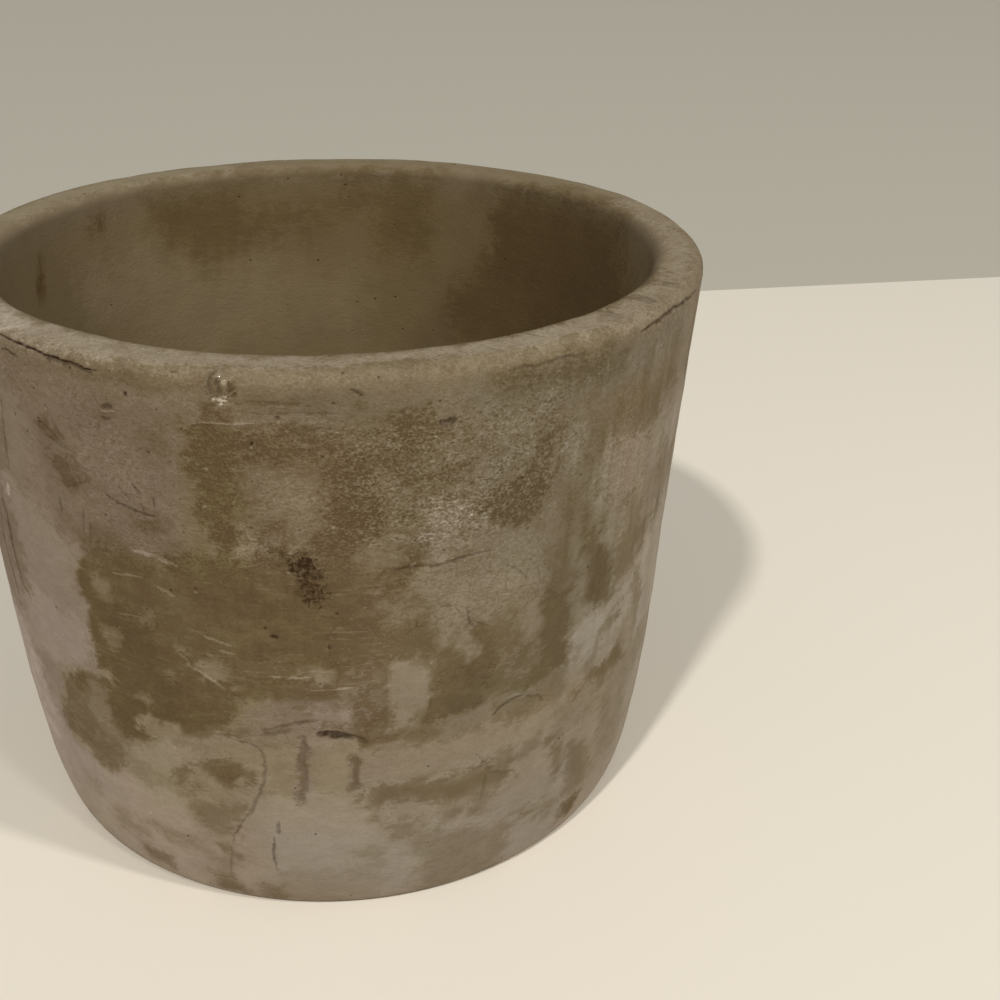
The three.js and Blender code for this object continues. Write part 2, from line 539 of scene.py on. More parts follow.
# Chips and scratches of the surface: places as angle and climb, then width and depth in mm, and how
# dark they are, which is dirt, and painted shade in the hollows of the pits, dents and lines and at
# the drop. With a depth below 0 they stand out, and with a depth of 0 they only colour the surface.
# With a darkness below 0 they are chalky.
marks = [
    ("gouge", [(4.0, 34.2), (6, 34.2), (8.2, 33.9)], 1.35, 0.25, 0.85),
    ("gougeHead", [(4.1, 34.2), (5.2, 34.2)], 1.2, 0.22, 0.85),
    ("gougeTail", [(7.6, 33.8), (9.2, 33.4), (10.4, 32.6)], 1.2, 0.15, 0.5),
    ("smearLeft", [(1.4, 34), (0.8, 30), (1.0, 26), (0.4, 22.3)], 1.5, 0.22, 0.15),
    ("smearRight", [(8.5, 30.3), (8.2, 27.5), (8.4, 24.6)], 2.0, 0.22, 0.15),
    ("undercut", [(-41, 86.6), (-37, 86.4), (-33.5, 86.35), (-30, 86.0), (-27, 85.8), (-24, 85.5),
     (-21.6, 85.3)], 0.3, 0.3, 1.0),
    ("undercutEnd", [(-31, 86.0), (-28, 85.6), (-25, 85.3), (-22.4, 85.1)], 0.5, 0.15, 0.5),
    ("undercutLow", [(-38, 84.9), (-35, 84.5)], 0.4, 0.25, 0.6),
    ("undercutRight", [(29, 85.2), (35, 85.1), (41, 85.0)], 0.5, 0.15, 0.35),
    ("undercutFar", [(52, 85.3), (56, 85.5), (62, 85.6), (68, 85.4), (72, 85.2)], 0.6, 0.25, 0.6),
    ("slot", [(20.6, 79.8), (22.0, 79.7)], 1.1, 0.2, 0.6),
    ("scratchA", [(-24, 68.5), (-22, 67.6), (-19, 66.9), (-16.5, 66.6)], 0.4, 0.14, 0.6),
    ("scratchB", [(-21.4, 70), (-20.7, 69.1), (-19.8, 68.6)], 0.3, 0.12, 0.5),
    ("scratchC", [(-18.4, 68.3), (-17.8, 66.9)], 0.3, 0.12, 0.5),
    ("scratchE", [(-32.5, 65.8), (-32.8, 63.1)], 0.4, 0.08, 0.4),
    ("scratchF", [(-27.3, 63.3), (-28.4, 59.7)], 0.35, 0.06, 0.3),
    ("scratchG", [(-19.2, 70.6), (-18.3, 69.6)], 0.4, 0.12, 0.55),
    ("scratchH", [(-16.3, 69.5), (-16.3, 67.8)], 0.35, 0.12, 0.5),
    ("featherA", [(-33.4, 76.4), (-31, 75.2), (-28.9, 73.8)], 0.5, 0.08, 0.32),
    ("featherB", [(-32.8, 74.7), (-30, 73.8), (-27.5, 73.2)], 0.45, 0.07, 0.3),
    ("featherC", [(-30.9, 77.4), (-29.4, 74.9)], 0.5, 0.07, 0.28),
    ("featherD", [(-34, 71.8), (-31.3, 70.7)], 0.4, 0.06, 0.28),
    ("featherE", [(-29.2, 72.8), (-27, 71.6), (-25.1, 70.9)], 0.45, 0.06, 0.28),
    ("featherF", [(-29.5, 68.3), (-27.5, 69), (-26, 70.1)], 0.4, 0.06, 0.26),
    ("edgeLineA", [(-41, 78), (-42.8, 72.3), (-44.2, 66)], 0.7, 0.1, 0.3),
    ("edgeLineB", [(-49.3, 60), (-49.6, 56), (-50.6, 51), (-49.9, 46.5),
     (-48, 44.6)], 0.9, 0.15, 0.5),
    ("edgeLineC", [(-52, 58), (-55, 50), (-54, 44.4), (-53.4, 40)], 0.9, 0.12, 0.45),
    ("edgeChip", [(-45.6, 63.4), (-46.4, 61.6)], 0.9, -0.15, -0.8),
    ("scratchD", [(-29, 61), (-28.6, 63.6), (-28.2, 66)], 0.3, 0.08, 0.3),
    ("panelEdge", [(-9.9, 33), (-6.5, 32.2), (-4.9, 30.9), (-4.9, 27.8), (-5.8, 24.2), (-7.3, 20.4),
     (-10.4, 15.4), (-11.7, 13.1)], 0.6, 0.08, 0.36),
    ("panelSide", [(-12, 12), (-12.5, 9), (-12.9, 5.7)], 0.45, 0.05, 0.3),
    ("panelLow", [(-4.3, 14.9), (-5, 12.2), (-5.1, 10), (-4.6, 8.2)], 0.5, 0.08, 0.5),
    ("panelNick", [(-3.5, 18.2), (-3.8, 15.6)], 0.6, 0.08, 0.45),
    ("arcLine", [(29.9, 33), (31.4, 34), (33, 34.6), (35.4, 34.8)], 0.55, 0.12, 0.5),
    ("arcLineB", [(35.8, 34.5), (38.3, 33.6), (39.4, 32.2)], 0.5, 0.06, 0.35),
    ("crackHigh", [(13, 59.6), (16.5, 60.0), (20, 59.7), (24, 60.3), (28, 60.2)], 0.4, 0.12, 0.5),
    ("wispLine", [(-4.5, 34.9), (-2, 35.4), (0.5, 36.3), (3.5, 36.9)], 0.7, 0.1, 0.4),
    ("wispLineB", [(-5, 34.2), (-2.5, 34.6), (-0.5, 35.2)], 0.8, 0.1, 0.35),
    ("footLine", [(27.5, 27), (30.5, 22.5), (33, 21.5), (35.5, 20.8)], 0.6, 0.1, 0.18),
    ("footLineB", [(29.5, 22.4), (29.2, 19.5), (28.8, 17.6)], 0.7, 0.1, 0.2),
    # The rim's dents: their dark colour is painted shade, soft over each dent and a thin line along
    # it.
    ("scoopA", [(51.2, 88.8), (51, 90.2), (51.8, 91.6)], 0.6, 0.15, 0.4),
    ("scoopAa", [(50.4, 89.2), (50.4, 91.2)], 1.9, 0.16, 0.22),
    ("scoopB", [(59.5, 88.2), (60, 89.8), (60.7, 91.2)], 0.7, 0.18, 0.42),
    ("scoopBb", [(58.9, 88.8), (59.4, 91)], 2.1, 0.18, 0.22),
    ("scoopC", [(68.6, 88.1), (68.5, 89.5), (68.8, 90.9)], 0.7, 0.18, 0.42),
    ("scoopCc", [(67.4, 88.6), (67.4, 90.6)], 2.1, 0.18, 0.22),
    ("scoopD", [(73.5, 89.6), (73.8, 91.2)], 0.7, 0.15, 0.35),
    ("scoopE", [(36.3, 89.2), (35.8, 90.6), (35.2, 92)], 0.4, 0.1, 0.35),
    ("scoopF", [(28.5, 87.8), (28, 89.4), (27.6, 91)], 0.4, 0.08, 0.25),
    ("ridge", [(-9.4, 80.3), (-5.5, 80.5), (-1.8, 80.6)], 0.4, -0.1, -0.45),
    ("ridgeRight", [(3.2, 80.5), (6.5, 80.9)], 0.35, -0.08, -0.3),
    ("streakA", [(-25.6, 56.3), (-22.6, 56.6), (-19.9, 56.8)], 0.35, 0.05, -0.5),
    ("streakB", [(-15, 44.4), (-12.6, 43.2), (-9.3, 41.2)], 0.6, 0.05, -0.55),
    ("streakC", [(-11.9, 49.6), (-9.6, 48.9), (-7.7, 48.4)], 0.45, 0.05, -0.6),
    ("streakD", [(-31, 39.6), (-28.5, 38.6), (-27, 37.9)], 0.4, 0.05, -0.4),
    ("streakE", [(-20.6, 60.9), (-18.4, 60.9), (-16.2, 60.4), (-14.1, 59.8)], 0.7, 0.05, -0.5),
    ("streakF", [(-16.6, 46.2), (-15, 45.2), (-14, 43.4)], 0.4, 0.05, -0.4),
    ("streakG", [(-17.6, 56.2), (-16.4, 55.6), (-15.6, 54.9)], 0.7, 0.05, -0.5),
    ("streakH", [(-9.8, 47.5), (-7.3, 47.1)], 0.5, 0.05, -0.5),
    ("streakK", [(-26.4, 49.9), (-23, 50.3), (-20.6, 50.4)], 0.3, 0.04, -0.35),
    ("streakL", [(2, 41.9), (6, 41.8), (10.6, 42.2)], 0.35, 0.04, -0.45),
    ("streakM", [(6.4, 45.5), (9, 45.4), (11, 45.8)], 0.25, 0.03, -0.3),
    ("streakN", [(-3.6, 43.9), (0, 43.7), (3, 43.9)], 0.3, 0.04, -0.45),
    ("lineDarkA", [(-3.4, 83.2), (0.4, 83.3), (4.6, 83.0)], 0.3, 0.05, 0.35),
    ("lineDarkB", [(-2, 81.9), (3, 82.1), (8, 81.9)], 0.25, 0.04, 0.28),
    ("lineDarkC", [(9.4, 84.8), (10.2, 84.5), (11, 83.9)], 0.45, 0.12, 0.6),
    ("speckA", [(-8.6, 74.2)], 0.55, -0.08, -1.0),
    ("speckB", [(-9.6, 74.7)], 0.45, -0.06, -0.7),
    ("speckC", [(-9.5, 69)], 0.45, -0.06, -0.8),
    ("speckD", [(6.9, 66.3)], 0.45, -0.06, -0.8),
    ("speckE", [(-12.3, 56.1)], 0.45, -0.06, -0.4),
    ("dotA", [(6.9, 53.9)], 0.5, 0.2, 0.8),
    ("dotB", [(5.8, 48.6)], 0.7, 0.12, 0.5),
    ("dotC", [(-4, 84.4)], 0.45, 0.15, 0.7),
    ("dotD", [(0.8, 81.4)], 0.6, 0.2, 0.7),
    ("dotDd", [(0.8, 80.7)], 0.5, -0.05, -0.5),
    ("webA", [(24.8, 52.4), (25.2, 51.2), (25.4, 49.8), (26.4, 48.7)], 0.4, 0.06, 0.5),
    ("webB", [(20, 53.4), (23, 53.1), (24.8, 52.4)], 0.3, 0.05, 0.35),
    ("webC", [(31, 57.4), (33, 56), (34.6, 54)], 0.35, 0.05, 0.35),
    # The pits are darkened by dirt and painted shade in their hollows.
    ("pitA", [(-18.1, 83.0)], 0.48, 0.21, 1.0),
    ("pitB", [(-21.4, 80.9), (-20.6, 80.9)], 0.65, 0.15, 0.75),
    ("pitBb", [(-22.3, 80.1), (-19.9, 80.4)], 0.25, -0.04, -0.5),
    ("pitC", [(-21.8, 79.4), (-21, 79.3)], 0.5, 0.12, 0.6),
    ("pitCc", [(-21.6, 78.3)], 0.7, 0.05, 0.2),
    ("pitD", [(-32.9, 80.9)], 0.34, 0.18, 0.9),
    ("pitE", [(-31.5, 78.9)], 0.31, 0.15, 0.8),
    ("pitF", [(-38.5, 75.9)], 0.34, 0.18, 0.9),
    ("pitG", [(-33.4, 76.3)], 0.41, 0.18, 0.9),
    ("pitH", [(-16.1, 75.6)], 0.34, 0.18, 0.9),
    ("pitI", [(-13.2, 74.8)], 0.31, 0.15, 0.8),
    ("pitJ", [(-2.5, 78.1)], 0.45, 0.2, 0.95),
    ("pitJj", [(-2.5, 77.6)], 0.4, -0.05, -0.6),
    ("pitK", [(6.0, 76.4)], 0.34, 0.18, 0.9),
    ("pitL", [(4.5, 77.2)], 0.31, 0.15, 0.8),
    ("pitM", [(8.6, 87.0)], 0.31, 0.18, 1.0),
    ("pitN", [(2.9, 89.6)], 0.27, 0.18, 1.0),
    ("pitO", [(-25.6, 85.0)], 0.37, 0.15, 0.8),
    ("pitP", [(-14.1, 81.5)], 0.27, 0.12, 0.7),
    ("pitQ", [(-11.6, 86.6), (-11.0, 86.6)], 0.34, 0.13, 0.5),
    ("pitR", [(-9.0, 86.6)], 0.34, 0.13, 0.5),
    ("pitS", [(-14.6, 86.2)], 0.31, 0.12, 0.5),
    ("pitT", [(-6.2, 86.8)], 0.27, 0.12, 0.5),
    ("pitU", [(7.3, 83.3)], 0.34, 0.18, 0.8),
    ("pitV", [(-1.9, 50.4), (-1.4, 50.2)], 0.6, 0.15, 0.75),
    ("pitW", [(-18.5, 85.8)], 0.31, 0.12, 0.5),
    ("pitX", [(-33.5, 83.9)], 0.31, 0.12, 0.6),
    ("bead", [(-5.9, 85.9), (-5.9, 84.5)], 2.3, -0.6, 0),
    # Painted shade in the drop's ring and core, and the drop's painted shadow on its right side.
    ("beadRingShade", [(-6.9, 84.3), (-7.1, 85.4), (-6.7, 86.3), (-5.9, 86.6)], 0.34, 0, 0.5),
    ("beadCoreShade", [(-6.0, 85.7), (-5.7, 84.9)], 0.7, 0, 0.5),
    ("beadSideShadow", [(-4.7, 85.8), (-4.5, 84.9), (-4.8, 84.2)], 0.4, 0, 0.6),
]


def scatterPits(count, seed):
    # More pits of the same kind round the sides and back.
    rng = random.Random(seed)
    rows = []
    for number in range(count):
        angle = rng.uniform(62, 320)
        climb = rng.choice([rng.uniform(60, 90), rng.uniform(4, 84)])
        size = rng.uniform(0.3, 0.5)
        long = rng.uniform(0, 0.4)
        rows.append(("pit", [(angle, climb), (angle + long, climb)], size, size * 0.55, 0.9))
    return rows


def fineMesh(shell, marks):
    # Smaller faces where the marks are, so that they are real shapes in the surface.
    surface = Surface(shell.data)
    close = np.zeros(len(surface.points), bool)
    for name, line, wide, deep, dirt in marks:
        near, x, y, corners = surface.flat(line, 0)
        close[near[lineDistance(x, y, corners, False) < wide / 2 + markSet["margin"]]] = True
    bpy.ops.object.select_all(action="DESELECT")
    bpy.context.view_layer.objects.active = shell
    shell.select_set(True)
    bpy.ops.object.mode_set(mode="EDIT")
    bpy.ops.mesh.select_all(action="DESELECT")
    bpy.ops.object.mode_set(mode="OBJECT")
    faces = shell.data.polygons
    corners = np.empty(len(faces) * 4, int)
    faces.foreach_get("vertices", corners)
    chosen = close[corners.reshape(-1, 4)].any(axis=1)
    faces.foreach_set("select", chosen)
    bpy.ops.object.mode_set(mode="EDIT")
    bpy.ops.mesh.select_mode(type="FACE")
    bpy.ops.mesh.subdivide(number_cuts=markSet["cuts"])
    bpy.ops.mesh.select_all(action="DESELECT")
    bpy.ops.mesh.select_mode(type="VERT")
    bpy.ops.object.mode_set(mode="OBJECT")


def push(shell, name, weights, depth, texture=None):
    # Moves the surface along its normals by depth mm times the weight.
    group = shell.vertex_groups.new(name=name)
    for index in np.nonzero(weights > 0.003)[0]:
        group.add([int(index)], float(weights[index]), "REPLACE")
    move = shell.modifiers.new(name, "DISPLACE")
    move.vertex_group = name
    move.mid_level = 0.5 if texture else 0.0
    move.strength = depth * mm
    if texture:
        move.texture = texture
        move.texture_coords = "LOCAL"
    bpy.ops.object.modifier_apply(modifier=name)
    shell.vertex_groups.clear()


def cloudTexture(name, size):
    texture = bpy.data.textures.new(name, "CLOUDS")
    texture.noise_scale = size * mm
    return texture


marks += scatterPits(markSet["pitsAround"], markSet["seed"])
fineMesh(shell, marks)
surface = Surface(shell.data)
print("fine mesh at the marks:", len(shell.data.vertices), "points")

unevenSet = {  # mm
    "footFrom": 0.3,  # the underside and the edge of the foot stay even
    "footRun": 2.5,
    "lastClimb": 240,
    "broadDepth": 0.45,
    "broadSize": 22,
    "smallDepth": 0.16,
    "smallSize": 4.5,
}
freeSide = smooth((surface.climb - unevenSet["footFrom"]) / unevenSet["footRun"])
freeSide = freeSide * (surface.climb < unevenSet["lastClimb"])
broadTexture = cloudTexture("broadUneven", unevenSet["broadSize"])
smallTexture = cloudTexture("smallUneven", unevenSet["smallSize"])
push(shell, "uneven", freeSide, unevenSet["broadDepth"], broadTexture)
push(shell, "lumps", freeSide, unevenSet["smallDepth"], smallTexture)
carve = np.zeros(len(surface.points))
lift = np.zeros(len(surface.points))
dirt = np.zeros(len(surface.points))
# Each mark is carved or raised, and darkened with dirt and painted shade in its hollow.
for name, line, wide, deep, dark in marks:
    rough = min(markSet["raggedMost"], wide * markSet["raggedShare"])
    near, share = surface.stroke(line, wide, rough, 0.5 if name == "bead" else 0.2)
    darkening = surface.stroke(line, wide, rough, 0.6)[1] * dark
    if deep > 0:
        carve[near] = np.maximum(carve[near], share * deep)
    else:
        lift[near] = np.maximum(lift[near], share * -deep)
    dirt[near] = np.where(abs(darkening) > abs(dirt[near]), darkening, dirt[near])
push(shell, "carved", carve, -1.0)
push(shell, "raised", lift, 1.0)
leaning = meshPoints(shell.data)
leaning[:, 2] += (leaning[:, 2] / (pot["height"] * mm)) ** 2 * pot["rimLean"] * leaning[:, 0]
shell.data.vertices.foreach_set("co", leaning.ravel())
shell.data.update()
print("marks cut into the surface")

# How pale the surface is: 0 is bare dark brown, 1 the palest film; some patches paint shade, shadow or
# highlights. Each patch gives its paleness, how broken up it is, its soft edge in mm and how ragged
# that edge is, then its outline.
# The level by climb alone: paler towards the foot and darker towards the rim.
heightTones = [
    (0, 0.8), (10, 0.78), (24, 0.66), (32, 0.6), (45, 0.54), (60, 0.44), (78, 0.32), (86, 0.36),
    (89, 0.5), (91.6, 0.45), (93, 0.32), (97, 0.33), (110, 0.34), (125, 0.34), (140, 0.36),
    (230, 0.4), (260, 0.5),
]
wearPatches = [
    # Pale skin low on the far left, made paler still towards the pot's left edge as painted light.
    ("farLeftLow", 1, 0.1, 3, 1, [(-68, 0), (-47, 0), (-47, 20), (-49, 30), (-52, 40), (-68, 44)]),
    ("leftLow", 0.88, 0.25, 2, 1, [(-50, 0), (-20, 0), (-19, 8), (-20, 20), (-50, 21)]),
    ("leftSkin", 0.66, 0.15, 2.6, 0.7, [(-52, 34), (-42, 36), (-33, 37.5), (-31.2, 40), (-31, 47),
     (-32, 57), (-33, 61), (-35, 66), (-47, 68), (-52, 60)]),
    ("leftSkinFoot", 0.8, 0.1, 1.5, 0.7, [(-50, 35.5), (-38, 37), (-33, 39), (-33, 46), (-50, 48)]),
    ("farLeftDull", 0.42, 0.3, 1.5, 0.8, [(-51.5, 44), (-47, 45), (-46.5, 58),
     (-48, 62), (-51.5, 60)]),
    ("farLeftMark", 0.55, 0.2, 1.5, 0.8, [(-62, 38), (-54, 38), (-53, 47), (-60, 48)]),
    ("topLeftSkin", 0.37, 0.5, 2.4, 0.8, [(-48, 66), (-34, 62), (-31, 61), (-15, 62), (-11, 64),
     (-10.6, 84.2), (-48, 84.2)]),
    ("topLeftPale", 0.52, 0.2, 2.0, 0.8, [(-44, 66), (-36, 66), (-37, 80), (-39, 83), (-44, 83)]),
    ("skinDull", 0.27, 0.5, 1.6, 0.8, [(-17.5, 80), (-12.4, 80), (-12.4, 75), (-17, 75)]),
    ("topLeftPaleB", 0.4, 0.35, 1.6, 0.8, [(-27, 70), (-19, 71), (-18, 75),
     (-25, 83), (-30, 83), (-29, 77)]),
    ("feather", 0.3, 0.8, 0.7, 1.0, [(-33.6, 77.4), (-30.4, 77.6), (-27, 73.6), (-25, 71),
     (-26, 69.4), (-29, 67.4), (-31.6, 69.4), (-34, 71.6)]),
    ("featherCore", 0.14, 0.5, 0.6, 0.8, [(-32, 72), (-29.6, 72.4), (-28.4, 69),
     (-29.4, 67.8), (-31.6, 69)]),
    ("featherTop", 0.18, 0.8, 0.5, 0.9, [(-34.5, 76.5), (-32, 77.5), (-31.5, 75), (-33.5, 74)]),
    ("leftEdge", 0.42, 0.5, 0.8, 0.8, [(-34.5, 60), (-31, 60), (-31, 66), (-34, 66)]),
    ("smallLeft", 0.3, 0.6, 0.6, 0.7, [(-33.6, 61.5), (-31.6, 61.8), (-31.6, 64), (-33.4, 63.8)]),
    ("speckleLeft", 0.27, 0.8, 0.7, 0.9, [(-19.5, 66.2), (-15.8, 67.3), (-13.8, 65.5), (-14.6, 63.6),
     (-17, 62.6), (-20, 63.4)]),
    ("underLeft", 0.26, 0.6, 0.7, 0.8, [(-30.5, 58.5), (-21, 59.5), (-21, 62.2),
     (-26, 63), (-30.5, 61.5)]),
    ("paleBand", 0.34, 0.5, 0.6, 0.8, [(-16.5, 61.2), (-9.6, 62.2), (-8.8, 64.4),
     (-12, 65), (-16, 63.7)]),
    ("bigDark", 0.11, 0.45, 0.45, 0.9, [(-31.2, 57.5), (-30, 59.4), (-25, 60.2), (-21, 60.2),
     (-15, 61), (-10, 62), (-6, 62), (-1, 60.5), (3, 59.5), (9, 58.5), (12, 56), (10.5, 52),
     (9.5, 50), (10.5, 46), (8, 44.2), (2, 43.9), (-4, 43.6), (-7.5, 42.2), (-8.6, 41), (-5, 41.2),
     (3, 41.7), (8, 41.4), (8.6, 40.3), (3, 39.6), (-1.5, 38.8), (-5, 37.4), (-8, 36.6), (-11, 34.8),
     (-14, 33.2), (-17, 32.4), (-19, 33.6), (-21.5, 31.4), (-23.5, 29.4), (-27.5, 28.2), (-31, 29.4),
     (-36, 28), (-40, 27), (-42, 30.9), (-41.4, 34), (-38, 35.8), (-33, 37), (-31.3, 39.6),
     (-31.8, 46), (-32, 52)]),
    ("lobe", 0.3, 0.6, 0.7, 1.0, [(-41.6, 34), (-41.6, 31), (-43.6, 27), (-44.8, 23.6),
     (-43, 22.2), (-40, 22.8), (-37.8, 20.8), (-35, 18.8), (-31.2, 20.4), (-29, 23.4),
     (-27.6, 26), (-29, 30), (-33, 34)]),
    ("lobeStreak", 0.46, 0.6, 0.5, 1.0, [(-33, 29), (-28, 28.4), (-26.4, 26.8), (-31, 27.4)]),
    ("lobeGap", 0.5, 0.5, 0.6, 0.9, [(-34.6, 31.6), (-29.6, 33), (-30.2, 30.2), (-34.4, 29)]),
    ("lobePale", 0.62, 0.3, 0.6, 0.9, [(-34.4, 38.6), (-31.2, 39), (-28.8, 39.6),
     (-29.2, 37.4), (-33, 36.6)]),
    ("midBrown", 0.04, 0.5, 2.0, 1.0, [(-4, 46), (9, 46), (10, 57), (4, 59), (-3, 57)]),
    ("darkCore", 0.07, 0.3, 2.0, 1.0, [(-29.5, 36), (-13, 35), (-12, 39), (-17, 47),
     (-22, 48), (-29.5, 46)]),
    ("darkTop", 0.07, 0.3, 1.2, 1.0, [(-16, 58), (-5, 59), (-4, 61), (-10, 61.6), (-17, 60.4)]),
    ("smearA", 0.46, 0.55, 0.5, 0.9, [(-28.4, 55), (-25.6, 54.6), (-25.2, 52.3),
     (-26.6, 51), (-28.6, 52)]),
    ("smearB", 0.48, 0.5, 0.5, 0.9, [(-22.4, 54.8), (-20.8, 54.4), (-20.6, 52), (-18.8, 50.4),
     (-20.2, 49.4), (-22, 50.8)]),
    ("smearC", 0.42, 0.5, 0.4, 0.9, [(-19.8, 56.6), (-18, 56.2), (-18, 55), (-19.4, 55.2)]),
    ("smearD", 0.4, 0.6, 0.5, 0.9, [(-28.3, 47.4), (-26, 47.6), (-25.6, 46.4),
     (-27, 44), (-28.2, 44.6)]),
    ("smearE", 0.3, 0.5, 0.5, 0.8, [(-21, 60.8), (-16.8, 60.2), (-15.2, 58.6),
     (-17.4, 58.8), (-20.6, 59.6)]),
    ("smearF", 0.3, 0.7, 0.7, 1.0, [(-30.6, 56.8), (-27.8, 57.2), (-27.6, 58.6), (-30.2, 59)]),
    ("smearG", 0.16, 0.5, 1.2, 1.0, [(-27, 50.5), (-17, 50.5), (-15, 57), (-24, 58)]),
    ("cluster", 0.38, 0.85, 0.5, 1.0, [(-14.6, 44.6), (-12, 46), (-8.6, 45.6), (-8.4, 42.6),
     (-10.6, 41.6), (-13.4, 43)]),
    ("scratchBand", 0.16, 0.8, 0.8, 1.0, [(-13, 50.6), (-7, 51.6), (-1, 50.6), (-1, 46.8),
     (-8, 46.4), (-12, 47.6)]),
    ("mauveBand", 0.25, 0.7, 1.0, 1.0, [(-8.4, 46.4), (0, 46.2), (1, 43.6), (-3.5, 43), (-7.6, 43)]),
    ("smearH", 0.36, 0.6, 0.4, 0.8, [(-17.4, 42.2), (-16.4, 42.2), (-16.4, 41), (-17.4, 41)]),
    ("smearI", 0.42, 0.5, 0.5, 0.8, [(-23.4, 37.6), (-21.9, 37.8), (-21.6, 35.6), (-22.8, 35.2)]),
    ("smearJ", 0.36, 0.7, 0.5, 0.9, [(-16.8, 48), (-15.2, 48), (-15.2, 46.2), (-16.6, 46.2)]),
    ("smearK", 0.42, 0.4, 0.7, 0.9, [(-34.5, 33), (-31, 34), (-31, 35.8), (-34.5, 35.6)]),
    ("stripDark", 0.06, 0.35, 0.4, 0.7, [(-11, 80.7), (-6, 80.7), (-5.4, 77), (-6, 73), (-4.5, 71),
     (-6, 69), (-6, 66.4), (-5, 64.6), (-5.4, 62.4), (-8, 62.6), (-9.6, 65), (-10.6, 69),
     (-11.6, 72), (-11.4, 76)]),
    ("stripSide", 0.34, 0.6, 0.6, 1.0, [(-12, 79), (-10.6, 79), (-10.4, 66), (-12, 66)]),
    ("clusterHalo", 0.28, 0.5, 1.0, 0.8, [(-23, 81.8), (-19.4, 82), (-19.8, 78.6), (-22.6, 78.4)]),
    ("topMidDark", 0.13, 0.6, 0.8, 1.0, [(-6, 80), (6, 80), (6, 75.6), (-5.6, 75.4)]),
    ("midSpeckle", 0.27, 0.9, 0.8, 1.0, [(-5.6, 75.6), (6, 75.6), (6, 65), (-5.6, 66)]),
    ("midPale", 0.34, 0.75, 0.8, 1.0, [(-1, 72.8), (5.2, 72.6), (7, 68.4), (6, 64.4),
     (1.6, 64.2), (-1.5, 67.6)]),
    ("midPaleB", 0.5, 0.6, 0.6, 1.0, [(-5.6, 66), (-3, 66.4), (-2.6, 62.6), (-4.6, 61), (-5.8, 62)]),
    ("midPaleC", 0.36, 0.8, 0.6, 1.0, [(-4.6, 73.6), (-1, 74.2), (-1, 71.4), (-4.4, 71.6)]),
    ("midBrownB", 0.22, 0.6, 0.6, 1.0, [(-2.6, 68.4), (1, 68.2), (1.4, 65.4), (-2, 64.8)]),
    ("lowPaleStrip", 0.12, 0.7, 0.6, 1.0, [(-3.4, 63), (1, 63.4), (5, 65),
     (4, 61.6), (0, 60), (-3, 60.6)]),
    ("palePool", 0.15, 0.6, 0.8, 1.0, [(-3.4, 59), (-0.6, 60), (0.8, 57), (-0.4, 55), (-3, 56.6)]),
    ("rightDark", 0.13, 0.7, 0.8, 1.0, [(5.2, 80), (19, 80.5), (17, 76), (13, 73.6), (13.6, 66.6),
     (10, 64.4), (6.6, 66), (6, 71)]),
    ("rightDarkCore", 0.08, 0.3, 0.6, 0.8, [(6, 70.4), (13.4, 70.2),
     (13.8, 66.4), (10, 65), (7, 66.2)]),
    ("grainy", 0.26, 0.9, 1.0, 1.0, [(10, 79.6), (20, 79.6), (20, 71), (12, 70.6)]),
    ("grainyPale", 0.42, 0.7, 0.8, 1.0, [(10.6, 74.8), (15.6, 75.4), (15.4, 71.4), (11.4, 71.2)]),
    ("grainySpot", 0.12, 0.7, 0.6, 1.0, [(14.4, 79), (19, 79.4), (18.4, 75), (15, 75.4)]),
    ("grainyMid", 0.34, 0.85, 1.0, 1.0, [(20, 79), (36, 80), (36, 70), (24, 69.4), (20, 70.6)]),
    ("speckBelow", 0.3, 0.85, 0.8, 1.0, [(13.6, 70.6), (21, 70.6), (21, 62), (14, 62), (12.4, 65)]),
    ("islandDark", 0.09, 0.5, 0.6, 1.0, [(26.4, 67), (30, 69.2), (33, 70.4), (36.6, 69.4), (37.6, 66),
     (34.4, 63.6), (31, 62.2), (28, 64.6)]),
    ("islandTail", 0.17, 0.8, 0.8, 1.0, [(35, 76), (38, 76), (38, 68), (34, 69)]),
    ("paleIsland", 0.6, 0.3, 0.6, 0.9, [(19.6, 68.6), (22.6, 69), (25.4, 66), (27, 62.4), (24, 60.6),
     (18.6, 61.4), (19, 65)]),
    ("paleLow", 0.46, 0.5, 0.8, 1.0, [(24, 65.4), (27, 65), (33, 62.4), (33, 60.2), (24, 60.4)]),
    ("paleSpotR", 0.55, 0.4, 0.7, 0.9, [(37.8, 72), (40, 75.4), (43, 74.4), (43, 70), (39.4, 69.4)]),
    ("mauveRight", 0.34, 0.45, 1.2, 1.0, [(36, 69.6), (45, 68.4), (46, 60), (40, 58.4), (35.6, 61)]),
    ("browned", 0.11, 0.5, 0.8, 1.0, [(3.6, 66), (9.6, 65), (9.6, 60.8), (14, 60), (17, 62.4),
     (17.4, 57.6), (15.6, 56.8), (10.6, 54.6), (8.6, 52.6), (5, 53.4), (4, 58)]),
    ("brownedPale", 0.34, 0.7, 0.8, 1.0, [(9.4, 64.8), (14.6, 64.4), (15, 60.8), (10, 61)]),
    ("greyBrown", 0.16, 0.5, 0.7, 1.0, [(9.6, 60.4), (15.8, 60.4),
     (16.4, 57), (12, 54.6), (9.4, 56)]),
    ("cracked", 0.46, 0.7, 0.8, 1.0, [(17, 58.8), (36, 60), (36.4, 50.6),
     (27, 49.6), (20, 50.4), (16, 52)]),
    ("crackedPale", 0.53, 0.45, 1.0, 1.0, [(21, 56), (30, 57.4), (33, 54.6), (29, 51.6), (22, 51.6)]),
    ("crackedLow", 0.32, 0.8, 0.8, 1.0, [(11, 56), (19, 57.4), (20, 50.4), (12, 50)]),
    ("midRough", 0.2, 0.8, 0.8, 1.0, [(8.6, 55), (13.6, 53.4), (14, 46), (9, 45), (5, 48)]),
